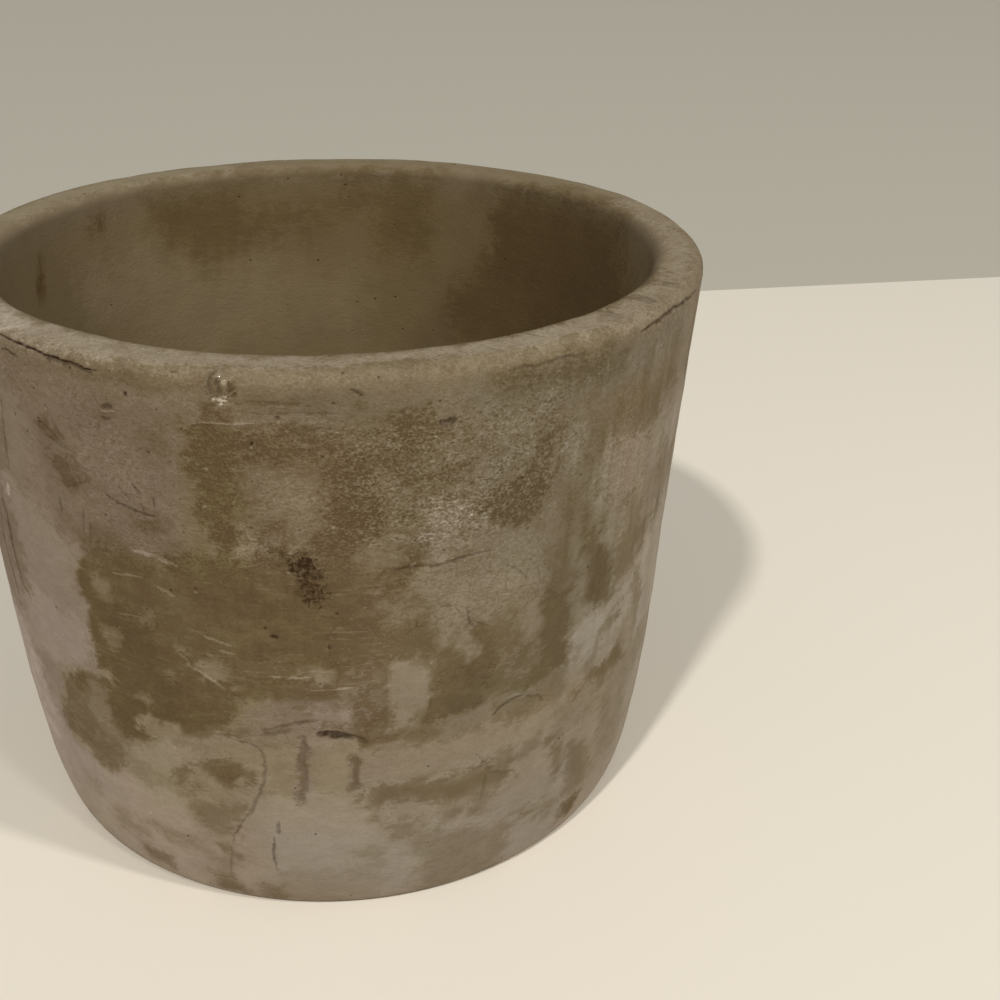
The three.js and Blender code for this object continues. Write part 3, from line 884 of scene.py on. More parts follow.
    ("paleColumn", 0.21, 0.7, 0.6, 1.0, [(12.6, 50.6), (19.8, 51.6), (21, 45), (20.6, 39),
     (18, 34.6), (12.6, 36), (12, 44)]),
    ("paleColumnLow", 0.58, 0.3, 0.5, 0.9, [(14, 45), (17, 45.4), (20, 44.2), (20.4, 41),
     (19.6, 38.6), (17.6, 36), (15.2, 35), (14, 38), (13.8, 42)]),
    ("darkRight", 0.19, 0.6, 0.5, 0.9, [(20.6, 50.4), (27, 49.4), (30.4, 46.4), (30.6, 41),
     (33.6, 38.4), (37, 37.6), (36, 35.8), (30, 35.6), (26, 34.4), (21.6, 33.4), (18.8, 33),
     (18.4, 36.6), (20.6, 41)]),
    ("darkRightLow", 0.09, 0.5, 0.5, 0.9, [(21.6, 42.4), (28.4, 42.6), (31, 38.6), (29, 36.4),
     (25, 34.6), (21.4, 34), (19.4, 33), (18.2, 35.4), (19.6, 38)]),
    ("darkRightPale", 0.5, 0.6, 0.5, 1.0, [(23.8, 49.6), (26, 49), (26, 43.6), (24.2, 43.4)]),
    ("darkRightPaleB", 0.5, 0.5, 0.5, 1.0, [(20.8, 49.6), (23, 49.8), (22.8, 47.4), (21, 47.4)]),
    ("rough29", 0.28, 0.7, 0.8, 1.0, [(28.6, 50.6), (37.4, 51), (37.4, 37.6), (29, 38)]),
    ("stripRight", 0.12, 0.3, 0.8, 0.8, [(37.4, 52), (42.6, 52), (43.4, 49), (45, 44), (44, 37.6),
     (40, 35.4), (34.6, 35.6), (35, 38), (37.4, 41), (37.4, 47)]),
    ("stripRightTop", 0.25, 0.5, 1.2, 1.0, [(36.8, 58), (41, 59.4), (43, 56), (43, 51), (37, 51)]),
    ("stripGap", 0.45, 0.5, 0.6, 0.9, [(34, 50.6), (37.2, 51), (37.6, 45.4), (34.6, 44.8)]),
    ("stripHigh", 0.27, 0.55, 1.0, 1.0, [(39, 66), (44.4, 66.4), (45, 57), (40, 57)]),
    ("farDark", 0.14, 0.25, 0.9, 0.9, [(45, 58.6), (48, 58.4), (49, 54.6), (51.6, 53.4), (52.8, 48),
     (52.6, 44.4), (49, 43.4), (46, 46), (46, 53)]),
    ("farDarkSide", 0.58, 0.35, 1.0, 0.9, [(48.8, 60), (53, 60), (53.4, 54), (51, 54), (49.4, 56)]),
    ("farPale", 0.42, 0.3, 1.0, 0.9, [(43.8, 53), (46, 52.6), (46, 44), (44.4, 42)]),
    ("farSkin", 0.64, 0.35, 1.8, 1.0, [(46.6, 72), (59, 68), (64, 74), (84, 70), (84, 34), (63, 40),
     (54, 43.6), (53.6, 52), (51.4, 60), (47, 61.6)]),
    ("farGreen", 0.32, 0.35, 2.0, 1.0, [(54, 60), (65, 58), (65, 47), (54, 46)]),
    ("farEdge", 0.78, 0.35, 2.0, 1.0, [(63, 70), (78, 68), (79, 36), (66, 37)]),
    ("farUpperDull", 0.54, 0.4, 2.0, 1.0, [(58, 63), (76, 62), (76, 55), (60, 55)]),
    ("farLowPaleB", 0.88, 0.3, 2.0, 1.0, [(60, 49), (78, 50), (78, 31), (66, 32)]),
    ("farBrownTop", 0.27, 0.35, 1.8, 1.0, [(47, 78), (56, 77.6), (61.6, 76),
     (61.6, 71), (55, 71), (48, 74)]),
    ("farGrey", 0.4, 0.5, 1.6, 1.0, [(48.6, 84.6), (66, 84.6), (68, 79), (58, 78.4), (50, 79.6)]),
    ("farSpots", 0.26, 0.8, 1.0, 1.0, [(42, 85), (50, 85), (51, 80), (44, 79)]),
    ("rightShoulder", 0.28, 0.6, 1.4, 1.0, [(41, 84), (48.6, 84), (48.6, 76), (46.6, 68),
     (44, 66), (41.6, 70), (43, 75)]),
    ("farTopPale", 0.48, 0.45, 2.0, 1.0, [(62, 86), (80, 86), (80, 74), (66, 74)]),
    ("farWedge", 0.82, 0.25, 1.5, 0.9, [(45, 41.6), (50, 43.6), (56, 44.6), (66, 44), (66, 40.6),
     (60, 38.4), (51, 35), (46, 36.4)]),
    ("farStreak", 0.22, 0.2, 0.6, 0.9, [(43.4, 28.8), (46.4, 30.4), (50.4, 31.8), (54, 33.4),
     (58, 34), (62, 31), (63.6, 26), (62, 25), (59, 28.6), (54.4, 28.8), (50, 28.2), (46, 26.8)]),
    ("farStreakTop", 0.5, 0.5, 0.8, 0.9, [(60, 44), (64, 46), (66, 38), (63, 36)]),
    ("farStreakMid", 0.46, 0.5, 0.8, 0.9, [(66, 66), (68, 66), (69, 52), (66.4, 50)]),
    ("farRing", 0.44, 0.2, 0.5, 0.9, [(49, 32.4), (48.4, 35), (50, 38.4), (53.6, 41.4), (57.6, 42),
     (56, 39.6), (52.4, 38), (51, 35.4), (51.4, 33)]),
    ("farEye", 0.7, 0.1, 0.6, 0.9, [(51.8, 33.2), (52, 36.6), (55, 38.6), (57.4, 36.4), (55, 34)]),
    ("farStreakLow", 0.36, 0.15, 1.0, 0.9, [(54, 26), (59, 24), (61, 18), (59.6, 14), (56, 20)]),
    ("scraped", 0.28, 0.9, 0.6, 1.0, [(-7, 43), (-2, 44.4), (6, 44.4), (12, 45.4),
     (12.4, 35), (9.6, 34.6), (2, 35), (-7, 36.4), (-8.4, 39.4), (3, 40), (8.8, 40.4),
     (8.6, 41.6), (1, 41.6), (-7, 41.2)]),
    ("scrapedSpot", 0.5, 0.4, 0.4, 0.7, [(3, 44.4), (5.6, 44.6), (5.8, 42.4), (3.4, 42)]),
    ("scrapedLow", 0.38, 0.7, 0.6, 0.9, [(-8, 40), (0, 39.6), (9, 39.8),
     (9, 36.8), (0, 36.4), (-8, 37.4)]),
    ("scrapedDark", 0.24, 0.8, 0.6, 1.0, [(8.6, 39.6), (12, 39.8), (12.8, 36),
     (11.6, 33), (8.6, 34.4)]),
    ("belowScrape", 0.46, 0.6, 0.7, 0.9, [(-9, 36.8), (3, 36.4), (3, 32), (-4, 31.6), (-9, 34)]),
    ("gougeShade", 0.1, 0.4, 0.6, 0.8, [(8.6, 34.4), (11.6, 34.2), (11.8, 32),
     (10.4, 30.6), (9.4, 32.4)]),
    ("rightBelow", 0.43, 0.5, 0.9, 0.9, [(11.6, 34.8), (19, 34.4), (28, 35.6), (37, 34.6),
     (44, 36), (44, 30), (11, 30)]),
    ("topMidCore", 0.05, 0.5, 0.8, 1.0, [(-2.6, 79.4), (3.4, 79.4), (2.4, 75.6), (-2.4, 75.8)]),
    ("grainyDull", 0.28, 0.85, 1.0, 1.0, [(8, 79.6), (24, 79.6), (24, 72), (12, 71)]),
    ("foldDark", 0.14, 0.5, 0.8, 0.9, [(-8, 42.6), (6, 42.6), (6, 40.4), (-8, 40.2)]),
    ("scrapedPale", 0.6, 0.5, 0.5, 0.9, [(2.4, 38.6), (8, 38.8), (8, 36), (2.4, 35.8)]),
    ("rightBelowDull", 0.33, 0.5, 0.7, 0.9, [(29.6, 35), (37.4, 35.2), (44, 36.4), (44, 32),
     (38, 30.6), (33.6, 30), (30, 32)]),
    ("gougeBelow", 0.21, 0.6, 0.8, 0.9, [(12, 34.8), (14, 34.4), (21, 33.6), (20.6, 31.6),
     (13, 31.8), (11.8, 32.4)]),
    ("leftOfGouge", 0.2, 0.6, 0.8, 0.9, [(-16.6, 34.6), (-8, 35), (-7.6, 31.8),
     (-12, 31.4), (-16, 32.4)]),
    ("rightLight", 0.6, 0.25, 1.4, 0.8, [(9.6, 31), (31, 31.6), (30, 26), (20, 25.4), (10, 24.6)]),
    ("lightLeft", 0.6, 0.4, 0.9, 0.9, [(-28, 28.4), (-22, 29), (-20.4, 32.8), (-14.6, 31.8),
     (-9.6, 34), (-6, 33), (-6.4, 24), (-8, 21), (-28.6, 20.4)]),
    ("lightLeftPale", 0.76, 0.3, 1.0, 0.9, [(-27.4, 26.6), (-23, 27.6), (-18, 31),
     (-15, 29), (-18, 26), (-23, 22)]),
    ("blotchA", 0.22, 0.5, 0.8, 1.0, [(-16, 26.4), (-13, 28.6), (-10.5, 29.4), (-8.6, 27.6), (-7, 26),
     (-9.6, 24.6), (-12.6, 24.6)]),
    ("blotchB", 0.3, 0.4, 0.8, 1.0, [(-20.2, 25), (-17.6, 25.6), (-16.6, 22.6), (-18.4, 21.6)]),
    ("blotchC", 0.36, 0.4, 1.0, 1.0, [(-19, 20.4), (-8.2, 20.4), (-8.4, 18),
     (-10.4, 15.4), (-17.4, 16.4)]),
    ("blotchD", 0.32, 0.3, 0.7, 0.8, [(-9.6, 20.4), (-7.8, 20.2), (-8, 18), (-9.6, 18.2)]),
    ("streakLow", 0.62, 0.4, 1.2, 0.9, [(-14.6, 16), (-10.6, 16), (-12.2, 5), (-15, 4)]),
    ("softLeft", 0.58, 0.4, 1.4, 0.9, [(-27, 12.6), (-18, 12), (-17, 9.6), (-24, 9)]),
    ("softLeftB", 0.7, 0.15, 1.2, 0.9, [(-42.6, 15), (-38.6, 15.4), (-38.4, 12.2), (-42, 12.4)]),
    ("blotchE", 0.38, 0.5, 0.5, 0.9, [(-17.6, 18.2), (-12.4, 17.6), (-8, 19.6), (-8, 18.4),
     (-12, 16.4), (-17, 16)]),
    ("spotLeft", 0.34, 0.4, 0.5, 0.8, [(-14.6, 12.6), (-13, 12.8), (-12.8, 11.4), (-14.4, 11)]),
    ("spotLeftB", 0.32, 0.4, 0.4, 0.8, [(-12.4, 11), (-11.2, 11), (-11.2, 9.6), (-12.4, 9.6)]),
    ("softLeftC", 0.62, 0.35, 1.4, 0.9, [(-37, 11), (-28, 11.4), (-28, 7.4), (-36, 7)]),
    ("dabLow", 0.62, 0.5, 0.5, 0.9, [(-25.4, 31.6), (-23.4, 33.4), (-20.6, 33.2),
     (-20.8, 31.4), (-23, 30.6)]),
    ("dabLowB", 0.44, 0.5, 0.6, 0.9, [(-24.4, 38), (-21.8, 38.2), (-21.6, 35.4), (-23.6, 35)]),
    ("dabLowC", 0.4, 0.6, 0.6, 0.9, [(-35, 33.4), (-31, 34), (-31.4, 30.8), (-34.4, 30.4)]),
    ("panel", 0.74, 0.15, 0.8, 0.5, [(-8, 22), (-4.6, 30), (0, 33), (9.6, 32.6), (11, 26), (12.6, 20),
     (12, 8), (-11, 8), (-9, 15)]),
    ("panelTop", 0.57, 0.25, 1.2, 0.8, [(-5.4, 32), (11, 32.6), (12, 25), (0, 23), (-6, 24)]),
    # Painted shadow beside the right end of the gouge.
    ("gougeLeeShadow", 0.2, 0.4, 0.8, 0.9, [(8.4, 34.2), (12.4, 34.4), (12.8, 32.4),
     (11.4, 30.6), (9.4, 31.2)]),
    ("panelPale", 0.8, 0.1, 0.6, 0.3, [(-4.7, 20.4), (6, 20.8), (9.6, 17), (9.4, 8.6),
     (-4.5, 8.4), (-4.9, 14)]),
    ("panelFoot", 0.66, 0.25, 0.6, 0.4, [(-4.4, 8.2), (12, 8.2), (12, 1), (-4.2, 1)]),
    ("smearLeftStain", 0.36, 0.2, 0.6, 0.5, [(0.4, 34), (2.1, 33), (1.7, 26), (0.9, 22),
     (-0.3, 22.4), (-0.1, 28)]),
    ("smearRightStain", 0.25, 0.2, 0.5, 0.5, [(7.4, 30.4), (9.3, 30.5), (9.4, 24.6), (7.5, 24.4)]),
    ("bandA", 0.25, 0.2, 1.2, 0.9, [(8.9, 22.8), (12, 24), (16, 24.6), (20, 24.4), (23.2, 24.3),
     (27, 24.1), (31, 24.2), (33.4, 25.2), (34.4, 23.6), (33.6, 20.6), (32.3, 19.4), (29, 19.2),
     (26, 19.1), (23.4, 19.5), (19, 20.6), (16, 21.3), (12, 21.2), (10, 21.4)]),
    ("bandTail", 0.3, 0.25, 0.5, 0.9, [(28.2, 20.6), (29.6, 20.6), (29, 16.4), (27.6, 15.4)]),
    ("bandArm", 0.36, 0.25, 0.5, 0.8, [(33, 22.4), (37, 19.4), (37.4, 17.4), (33.6, 20.6)]),
    ("bandLow", 0.34, 0.3, 0.5, 0.9, [(21.6, 17), (24, 17.8), (26.4, 18.2),
     (25.6, 16.2), (23, 14.8)]),
    ("bandB", 0.36, 0.2, 0.4, 0.9, [(9.6, 22.4), (10.8, 22.4), (12, 19), (11.2, 18.4), (10.2, 20.4)]),
    ("bandC", 0.42, 0.25, 1.0, 0.9, [(27, 20.4), (31, 20.6), (30.4, 15.6), (28.4, 15.4)]),
    ("bandD", 0.4, 0.25, 0.8, 0.9, [(31, 25.6), (34, 26.4), (34, 23), (31.6, 22.6)]),
    ("spotE", 0.42, 0.25, 1.0, 0.9, [(13, 17.4), (18.4, 17.6), (18.6, 14), (13.4, 13.6)]),
    ("spotF", 0.42, 0.25, 0.8, 0.9, [(21.6, 18), (25, 18.4), (24, 15.4), (21.4, 15.2)]),
    ("lowBrown", 0.47, 0.35, 1.6, 0.9, [(17.6, 12), (24, 13), (31, 12),
     (36, 10), (34, 0), (18.6, 0)]),
    ("spotG", 0.58, 0.2, 0.9, 0.9, [(7.6, 12.4), (13.4, 12.4), (13, 9), (8, 9)]),
    ("rightLowPale", 0.68, 0.3, 1.4, 0.9, [(32, 20), (42, 22), (44, 14), (36, 11), (31, 14)]),
    ("farLow", 0.44, 0.35, 1.4, 0.9, [(46, 21), (51, 20), (55, 13), (54, 8.6), (50, 8.4), (44, 12),
     (36, 12.4), (36.6, 10), (46, 7), (47, 12)]),
    ("farLowB", 0.34, 0.15, 0.8, 0.9, [(47, 20), (50.6, 20), (53.4, 11), (51.4, 9.6), (48.4, 13)]),
    ("farLowPale", 0.54, 0.35, 1.4, 0.9, [(42, 30), (53, 30), (54, 24), (44, 24)]),
    ("markR", 0.34, 0.2, 0.5, 0.9, [(41.6, 25.6), (43.6, 26.6), (43.8, 21), (45.6, 16.6),
     (44, 15), (42.4, 17), (42, 21)]),
    ("markRTop", 0.4, 0.5, 0.6, 0.9, [(35, 25.4), (39.6, 26.6), (40.4, 24), (36.6, 23)]),
    ("edgeGreen", 0.56, 0.45, 2.0, 0.9, [(55, 30), (66, 30), (66, 12), (56, 10)]),
    ("farFootPale", 0.8, 0.3, 2.0, 0.9, [(68, 24), (80, 26), (80, 2), (57, 2), (57, 7), (66, 9)]),
    ("lowDull", 0.5, 0.4, 1.2, 0.9, [(18, 14.6), (22.6, 14.6), (22.4, 11.4), (18, 11.4)]),
    ("footA", 0.4, 0.4, 0.9, 0.8, [(-31.6, 5.6), (-24, 5.8), (-25, 2.4), (-31, 2.4)]),
    ("footB", 0.3, 0.3, 0.9, 0.8, [(-16.6, 5), (-12, 5.2), (-10.6, 1.6), (-16, 1)]),
    ("footC", 0.4, 0.3, 0.9, 0.8, [(-8.4, 4), (-4, 4.2), (-4, 0.6), (-8.6, 0.6)]),
    ("footD", 0.14, 0.2, 0.8, 0.8, [(47.4, 7), (53, 7.4), (53.4, 4), (48, 3.8)]),
    ("topBand", 0.35, 0.45, 1.0, 0.8, [(-10.6, 85), (44, 85), (44, 80.6), (20, 80), (-10.6, 80.4)]),
    ("damp", 0.1, 0.3, 0.5, 0.6, [(-8.4, 82.8), (-4.2, 82.6), (-4.6, 80.9), (-8.2, 80.8)]),
    ("topBandDull", 0.26, 0.5, 0.8, 0.8, [(-4.6, 84), (6, 84), (6, 82.4), (-4.4, 82.2)]),
    ("topDrop", 0.29, 0.7, 0.7, 1.0, [(8.6, 83.4), (14.6, 83.2), (16, 80),
     (14.4, 77.6), (11, 76.6), (9, 77.2)]),
    ("topDropDark", 0.14, 0.8, 0.6, 1.0, [(14.4, 81.6), (19.4, 81.2), (19.6, 77), (15.3, 76.4)]),
    ("beadShade", 0.25, 0.4, 0.9, 0.8, [(-27, 86.2), (-8, 86.6), (-8, 84), (-27, 84)]),
    ("topBandDark", 0.14, 0.25, 1.6, 0.8, [(27, 84.8), (45, 84.8), (45, 81), (30, 82)]),
    # The water drop's look is painted. Its body is darker from wetness and painted shade, and its
    # middle has a dark painted shade. A painted highlight runs along its left edge and a painted
    # highlight crescent lies below it. It has a painted glint at its top right and a painted shadow on
    # its right.
    ("beadBodyWetShade", 0.1, 0.05, 0.25, 0.1, [(-7.1, 84.6), (-6.9, 85.9), (-6, 86.6), (-5, 86),
     (-4.7, 84.8), (-5.1, 83.6), (-5.9, 83.2), (-6.8, 83.6)]),
    ("beadLeftHighlight", 0.85, 0, 0.2, 0.05, [(-7.3, 84.4), (-7.2, 85.6), (-6.7, 86.3), (-6.6, 86),
     (-6.9, 85.3), (-6.9, 84.2)]),
    ("beadDarkShade", 0, 0.05, 0.2, 0.1, [(-5.9, 85.9), (-5.3, 85.5), (-5.3, 84.6),
     (-5.9, 84.3), (-6.1, 85.1)]),
    ("beadGlint", 1.2, 0, 0.15, 0.05, [(-5.5, 86.5), (-4.9, 86), (-4.9, 85.6),
     (-5.2, 85.7), (-5.7, 86.2)]),
    ("beadEdgeShadow", 0.02, 0.05, 0.25, 0.1, [(-4.7, 86), (-3.9, 85), (-4.1, 83.9),
     (-4.8, 84), (-4.7, 85)]),
    ("beadShine", 1.5, 0, 0.2, 0.05, [(-7, 84.2), (-6.6, 83.4), (-5.9, 83.0), (-5.2, 83.4),
     (-4.9, 84.1), (-5.4, 83.95), (-5.9, 83.7), (-6.5, 84)]),
    ("rimLeft", 0.74, 0.15, 1.2, 0.8, [(-75, 87), (-22, 87), (-22, 91), (-75, 91.6)]),
    ("rimLeftEnd", 0.92, 0.1, 1.4, 0.8, [(-75, 87.6), (-37, 87.6), (-36, 91), (-75, 91.6)]),
    ("rimMid", 0.66, 0.15, 1.0, 0.8, [(-22, 87.4), (48, 87.4), (48, 91.2), (-22, 91.2)]),
    ("rimFrontEdge", 0.42, 0.3, 0.8, 0.6, [(-14, 88), (30, 88.4), (30, 86), (-14, 85.6)]),
    ("rimRight", 0.6, 0.15, 1.2, 0.8, [(48, 87), (118, 87), (118, 91), (48, 91)]),
    ("rimRightEdge", 0.45, 0.2, 0.8, 0.6, [(56, 88.4), (100, 88.4), (100, 86), (56, 86)]),
    ("rimFrontDull", 0.34, 0.2, 0.7, 0.6, [(5, 88.5), (24, 88.5), (24, 86.6), (5, 86.6)]),
    # Painted shade on the rim's inner edge at the front right.
    ("rimInnerEdgeShade", 0.14, 0.15, 0.7, 0.6, [(5, 95.4), (76, 95.4), (76, 92), (5, 92)]),
    ("rimInnerLeft", 0.34, 0.15, 0.8, 0.6, [(-45, 94.4), (5, 94.4), (5, 92.2), (-45, 92.2)]),
    ("rimBack", 0.4, 0.2, 1.6, 0.9, [(135, 88), (205, 88), (205, 93), (135, 93)]),
    ("rimBackLeft", 0.58, 0.1, 1.6, 0.9, [(208, 88), (262, 88), (262, 92), (208, 92)]),
]
insideTop = 2 * shoulder + lipRun  # the climb on the inside wall is this less the height
# The inside wall is darker on its right as painted shade, and paler on its left with a painted pool of
# light.
insidePatches = [
    ("insideLeft", 0.36, 0.05, 4, 1.5, [(196, 82), (275, 84), (275, 30), (196, 30)]),
    ("insideMauve", 0.46, 0.05, 4, 1.5, [(200, 74), (232, 76), (236, 62), (222, 54), (198, 58)]),
    ("insideMauveB", 0.46, 0.1, 2, 1.5, [(208, 77), (214, 78), (216, 70), (209, 70)]),
    ("insideOlive", 0.27, 0.05, 4, 1.5, [(158, 72), (196, 76), (196, 52), (160, 50)]),
    ("insideBrown", 0.09, 0.1, 4, 1.5, [(176, 87), (228, 84), (226, 76),
     (214, 70), (200, 74), (182, 77)]),
    ("insideWarm", 0.42, 0.05, 5, 1.5, [(180, 68), (200, 68), (200, 54), (180, 54)]),
    ("insideBrownPale", 0.26, 0.1, 2.5, 1.5, [(184, 85), (208, 85), (206, 79), (186, 79)]),
    ("insideGlow", 0.48, 0.05, 3, 1.5, [(228, 76), (252, 75), (250, 65), (230, 66)]),
    ("insideFoot", 0.24, 0.05, 4, 1.5, [(206, 50), (250, 52), (250, 36), (206, 36)]),
    ("insideBrownB", 0.1, 0.1, 4, 1.5, [(163, 87), (178, 87), (177, 72), (166, 70)]),
    ("insideDeepShadeLow", 0.2, 0.05, 6, 1.5, [(96, 62), (156, 60), (156, 26), (96, 26)]),
    ("insideDeepShade", 0.02, 0.1, 5, 1.5, [(112, 86), (146, 87), (158, 78), (150, 64),
     (138, 56), (116, 60), (104, 72)]),
    ("insideDeepShadeB", 0.06, 0.15, 3, 1.5, [(140, 70), (160, 66), (158, 56), (140, 54)]),
    ("insideLight", 0.3, 0.1, 2.5, 1.5, [(150, 82), (160, 82), (158, 70), (151, 72)]),
    ("insideMark", 0.0, 0.2, 0.7, 0.6, [(259, 80), (261, 80.5), (264, 76), (263, 74.5), (260, 77)]),
    ("insideNick", 0.08, 0.2, 0.8, 0.6, [(239, 82), (244, 82.6), (244, 81.8), (239, 81)]),
]
# The same kinds of wear for the sides and back, which the photograph doesn't show.
backSet = {
    "seed": 5,
    "darks": 5,
    "pales": 9,
    "broken": 12,
    "lows": 8,
    "turned": [(140, -1, 2.4), (246, 1, -2)],  # the front's patches again: degrees, handedness, mm up
}


def blob(rng, angle, climb, wide, tall):
    corners = []
    for i in range(10):
        turn = 2 * math.pi * i / 10
        grow = rng.uniform(0.6, 1.1)
        corners.append((angle + wide * grow * math.cos(turn), climb + tall * grow * math.sin(turn)))
    return corners


def backPatches():
    rng = random.Random(backSet["seed"])
    rows = []
    for i in range(backSet["pales"]):
        place = (rng.uniform(88, 300), rng.uniform(6, 80), rng.uniform(6, 16), rng.uniform(4, 11))
        tone = 0.86 - 0.0045 * place[1] + rng.uniform(-0.08, 0.06)
        rows.append(("skin", tone, 0.15, rng.uniform(0.8, 2.2), 1.0, blob(rng, *place)))
    for turn, way, rise in backSet["turned"]:
        for name, tone, fleck, soft, ragged, line in wearPatches:
            angles, heights = zip(*line)
            if -48 < min(angles) and max(angles) < 46 and 7 < min(heights) and max(heights) < 81:
                copied = [(turn + way * a, c + rise) for a, c in line]
                rows.append((name, tone, fleck, soft, ragged, copied))
    for i in range(backSet["darks"]):
        place = (rng.uniform(90, 296), rng.uniform(32, 78), rng.uniform(4, 14), rng.uniform(3, 10))
        tone, fleck = rng.uniform(0.1, 0.24), rng.uniform(0.25, 0.6)
        rows.append(("dark", tone, fleck, 0.6, 1.0, blob(rng, *place)))
    for i in range(backSet["broken"]):
        place = (rng.uniform(88, 300), rng.uniform(26, 82), rng.uniform(3, 9), rng.uniform(2, 7))
        rows.append(("broken", rng.uniform(0.3, 0.55), 0.85, 0.8, 1.0, blob(rng, *place)))
    for i in range(backSet["lows"]):
        place = (rng.uniform(80, 300), rng.uniform(3, 26), rng.uniform(3, 10), rng.uniform(1.2, 3.4))
        rows.append(("low", rng.uniform(0.36, 0.6), 0.3, 1.0, 1.0, blob(rng, *place)))
    return rows


# Other properties: how much, the soft edge in mm, and the outline.
grainPatches = [
    (0.35, 3, [(-28, 84), (-11, 84), (-11, 60), (-30, 60)]),
    (0.3, 2, [(-60, 92), (120, 92), (120, 80), (-60, 80)]),
    (0.35, 3, [(-12, 84), (60, 84), (60, 60), (-12, 60)]),
    (1.0, 2, [(8, 80), (38, 80.6), (37, 66), (22, 62), (8, 64)]),
    (0.5, 2, [(-6, 79), (8, 79), (8, 62), (-6, 62)]),
    (0.3, 2, [(12, 62), (38, 62), (38, 50), (12, 50)]),
]
scuffPatches = [
    (0.5, 2, [(-30, 60), (-8, 60), (-8, 38), (-30, 36)]),
    (0.9, 2, [(-14, 60), (14, 60), (14, 36), (-14, 37)]),
    (0.9, 1.5, [(-10, 84.8), (10, 84.8), (10, 79.6), (-10, 79.6)]),
    (0.6, 1.5, [(-12, 79), (6, 79), (6, 62), (-12, 62)]),
]
crackPatches = [
    (0.9, 2, [(15, 60), (38, 60), (38, 48), (15, 48)]),
    (0.5, 2, [(-10, 40), (14, 40), (14, 33), (-10, 31)]),
    (0.5, 2, [(-30, 32), (-6, 34), (-6, 22), (-24, 22)]),
]
streakPatches = [
    (1.0, 3, [(36, 84), (84, 84), (84, 30), (50, 30), (44, 50), (36, 62)]),
    (0.5, 3, [(-32, 58), (4, 60), (10, 40), (-30, 36)]),
]
stainPatches = [
    (0.72, 1.8, [(0.4, 62), (2.4, 63.8), (4.8, 62.2), (5.3, 60), (4.4, 58),
     (2.4, 57.6), (0.8, 59.6)]),
    (0.66, 1.3, [(2.4, 58), (4.6, 58.8), (6.6, 57.4), (6.3, 55.2), (3.4, 55.2), (2.4, 56.6)]),
    (0.45, 1.0, [(-1.4, 63), (0.8, 63.4), (1, 61.2), (-0.6, 61)]),
    (0.82, 0.8, [(1.0, 60.8), (2.0, 62.2), (3.2, 61.6), (3.0, 60.0), (1.6, 59.4)]),
    (0.78, 0.7, [(3.4, 56.2), (4.4, 56.6), (5.0, 55.4), (3.8, 55.0)]),
    (0.55, 0.7, [(5.6, 52.6), (6.7, 52.6), (6.4, 48.4), (5.3, 48.2)]),
    (0.36, 0.7, [(-31, 86.4), (-22, 85.6), (-21.6, 84.7), (-27, 84.8), (-31, 85.5)]),
    (0.25, 1.0, [(-41, 85.4), (-33, 85.3), (-33, 84.2), (-41, 84.2)]),
]
tintPatches = [  # towards mauve below 0, towards yellow green above
    (-0.6, 6, [(-70, 84), (-11, 84), (-11, 60), (-30, 58), (-32, 20), (-70, 0)]),
    (-0.5, 4, [(30, 70), (47, 70), (47, 58), (30, 58)]),
    (-0.5, 3, [(-8, 48), (12, 46), (12, 34), (-8, 34)]),
    (0.2, 4, [(12, 82), (38, 80), (60, 60), (60, 24), (20, 30), (12, 50)]),
    (0.2, 5, [(55, 84), (88, 84), (88, 2), (55, 2)]),
    (0.8, 1.0, [(-38, 35), (-31, 37.5), (-31.5, 57), (-21, 60), (-12, 61), (-10.6, 80), (-4, 80),
     (-3, 60), (4, 46), (-10, 34), (-26, 28.6)]),
    (0.1, 0.9, [(-42, 36), (-43.6, 28), (-44.8, 22), (-40, 20), (-35, 18.6), (-29, 22),
     (-26, 29), (-33, 37.6)]),
    (0.5, 4, [(-28, 56), (6, 58), (10, 44), (-6, 40), (-28, 36)]),
    (0.45, 5, [(-28, 30), (-6, 34), (8, 32), (9, 22), (-6, 21), (-28, 12)]),
    (-0.6, 0.8, [(0, 34), (2.4, 33.5), (2, 22), (-0.4, 22)]),
    (-0.4, 0.8, [(7, 30.6), (9.6, 30.6), (9.6, 24), (7.2, 24)]),
    (0.4, 1.2, [(-16, 87.6), (48, 88.6), (48, 85.2), (-16, 84.6)]),
    (0.45, 2, [(-75, 93), (120, 93), (120, 86.8), (-75, 86.8)]),
    (0.8, 4, [(120, 93), (285, 93), (285, 87), (120, 87)]),
]
coolPatches = [  # towards grey
    (0.6, 2.5, [(2, 84.5), (24, 84.5), (24, 80), (3, 80)]),
    (1.0, 2.5, [(24, 84.8), (56, 85), (70, 84), (70, 79), (40, 78), (24, 79)]),
    (0.7, 4, [(22, 80), (44, 79), (52, 58), (40, 52), (26, 55)]),
    (0.4, 3, [(12, 80), (24, 79), (26, 58), (36, 52), (36, 34), (14, 34), (18, 56), (14, 62)]),
    (0.8, 3, [(36, 56), (53, 58), (56, 44), (44, 34), (22, 33), (20, 38), (30, 41), (36, 46)]),
    (0.8, 3, [(45, 44), (76, 46), (76, 32), (45, 34)]),
    (0.6, 4, [(-6, 18), (10, 18), (50, 20), (50, 1), (8, 1), (-6, 6)]),
    (0.3, 3, [(-6, 22), (8, 27), (52, 29), (52, 20), (-6, 18)]),
    (0.35, 5, [(58, 80), (84, 80), (84, 2), (56, 2)]),
]


